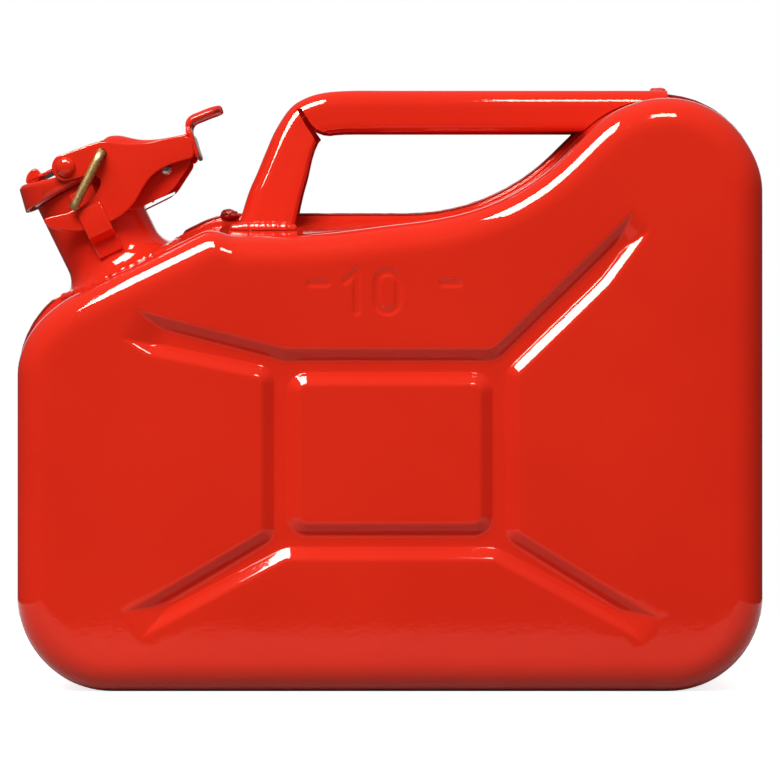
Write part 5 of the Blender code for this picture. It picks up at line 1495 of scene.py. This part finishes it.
def greater(tree, first, second):
    """The greater of two values."""
    pick = tree.nodes.new("ShaderNodeMath")
    pick.operation = "MAXIMUM"
    tree.links.new(first, pick.inputs[0])
    tree.links.new(second, pick.inputs[1])
    return pick.outputs["Value"]


def background_rays(tree):
    """1 for rays from a mirror or clear glass, and 1 for rays from the camera."""
    path = tree.nodes.new("ShaderNodeLightPath")
    mirrored = greater(tree, path.outputs["Is Glossy Ray"], path.outputs["Is Transmission Ray"])
    return mirrored, path.outputs["Is Camera Ray"]


def white_sweep():
    """Paper that is white where it is seen or mirrored, and pale grey in its bounce."""
    material = bpy.data.materials.new("sweep_white")
    material.use_nodes = True
    nodes, links = material.node_tree.nodes, material.node_tree.links
    nodes.clear()
    out = nodes.new("ShaderNodeOutputMaterial")
    paper = nodes.new("ShaderNodeBsdfDiffuse")
    mirrored, seen = background_rays(material.node_tree)
    tone = nodes.new("ShaderNodeMapRange")
    tone.inputs["To Min"].default_value = 0.25
    tone.inputs["To Max"].default_value = 0.75
    links.new(greater(material.node_tree, seen, mirrored), tone.inputs["Value"])
    links.new(tone.outputs["Result"], paper.inputs["Color"])
    shine = nodes.new("ShaderNodeEmission")
    glow = nodes.new("ShaderNodeMath")
    glow.operation = "MULTIPLY"
    glow.inputs[1].default_value = 0.80
    links.new(seen, glow.inputs[0])
    links.new(glow.outputs["Value"], shine.inputs["Strength"])
    both = nodes.new("ShaderNodeAddShader")
    links.new(paper.outputs[0], both.inputs[0])
    links.new(shine.outputs[0], both.inputs[1])
    links.new(both.outputs[0], out.inputs[0])
    return material


floor_corners = [(sx * SWEEP_HALF[0], sy * SWEEP_HALF[1], 0)
                 for sx, sy in ((-1, -1), (1, -1), (1, 1), (-1, 1))]
floor = new_piece("sweep", floor_corners, [(0, 1, 2, 3)])
floor.data.materials.append(white_sweep())


def studio_world():
    """A room, bright above and dim below: white to the camera and, far off, in the gloss."""
    world = bpy.data.worlds.new("studio")
    world.use_nodes = True
    nodes, links = world.node_tree.nodes, world.node_tree.links
    nodes.clear()
    out = nodes.new("ShaderNodeOutputWorld")
    white, room = nodes.new("ShaderNodeBackground"), nodes.new("ShaderNodeBackground")
    white.inputs["Color"].default_value = (1, 1, 1, 1)
    place = nodes.new("ShaderNodeTexCoord")
    split = nodes.new("ShaderNodeSeparateXYZ")
    links.new(place.outputs["Generated"], split.inputs[0])
    height = nodes.new("ShaderNodeMapRange")
    height.inputs["From Min"].default_value = -1.0
    ramp = nodes.new("ShaderNodeValToRGB")
    ramp.color_ramp.elements.new(ROOM_TONES[1][0])
    for element, (position, tone) in zip(ramp.color_ramp.elements, ROOM_TONES):
        element.position, element.color = position, (tone, tone, tone, 1)
    links.new(split.outputs["Z"], height.inputs["Value"])
    links.new(height.outputs["Result"], ramp.inputs["Fac"])
    links.new(ramp.outputs["Color"], room.inputs["Color"])
    mirrored, seen = background_rays(world.node_tree)
    dimmer = nodes.new("ShaderNodeMath")
    dimmer.operation = "MULTIPLY_ADD"
    dimmer.inputs[1].default_value = -MIRRORED_DIM
    dimmer.inputs[2].default_value = 1.0
    links.new(mirrored, dimmer.inputs[0])
    links.new(dimmer.outputs["Value"], room.inputs["Strength"])
    for axis, low, high in WHITE_WALL:
        edge = nodes.new("ShaderNodeMapRange")
        edge.inputs["From Min"].default_value = low
        edge.inputs["From Max"].default_value = high
        links.new(split.outputs[axis], edge.inputs["Value"])
        within = nodes.new("ShaderNodeMath")
        within.operation = "MULTIPLY"
        links.new(mirrored, within.inputs[0])
        links.new(edge.outputs["Result"], within.inputs[1])
        mirrored = within.outputs["Value"]
    mix = nodes.new("ShaderNodeMixShader")
    links.new(greater(world.node_tree, seen, mirrored), mix.inputs[0])
    links.new(room.outputs[0], mix.inputs[1])
    links.new(white.outputs[0], mix.inputs[2])
    links.new(mix.outputs[0], out.inputs[0])
    return world


bpy.context.scene.world = studio_world()
bpy.context.scene.view_settings.view_transform = "Standard"
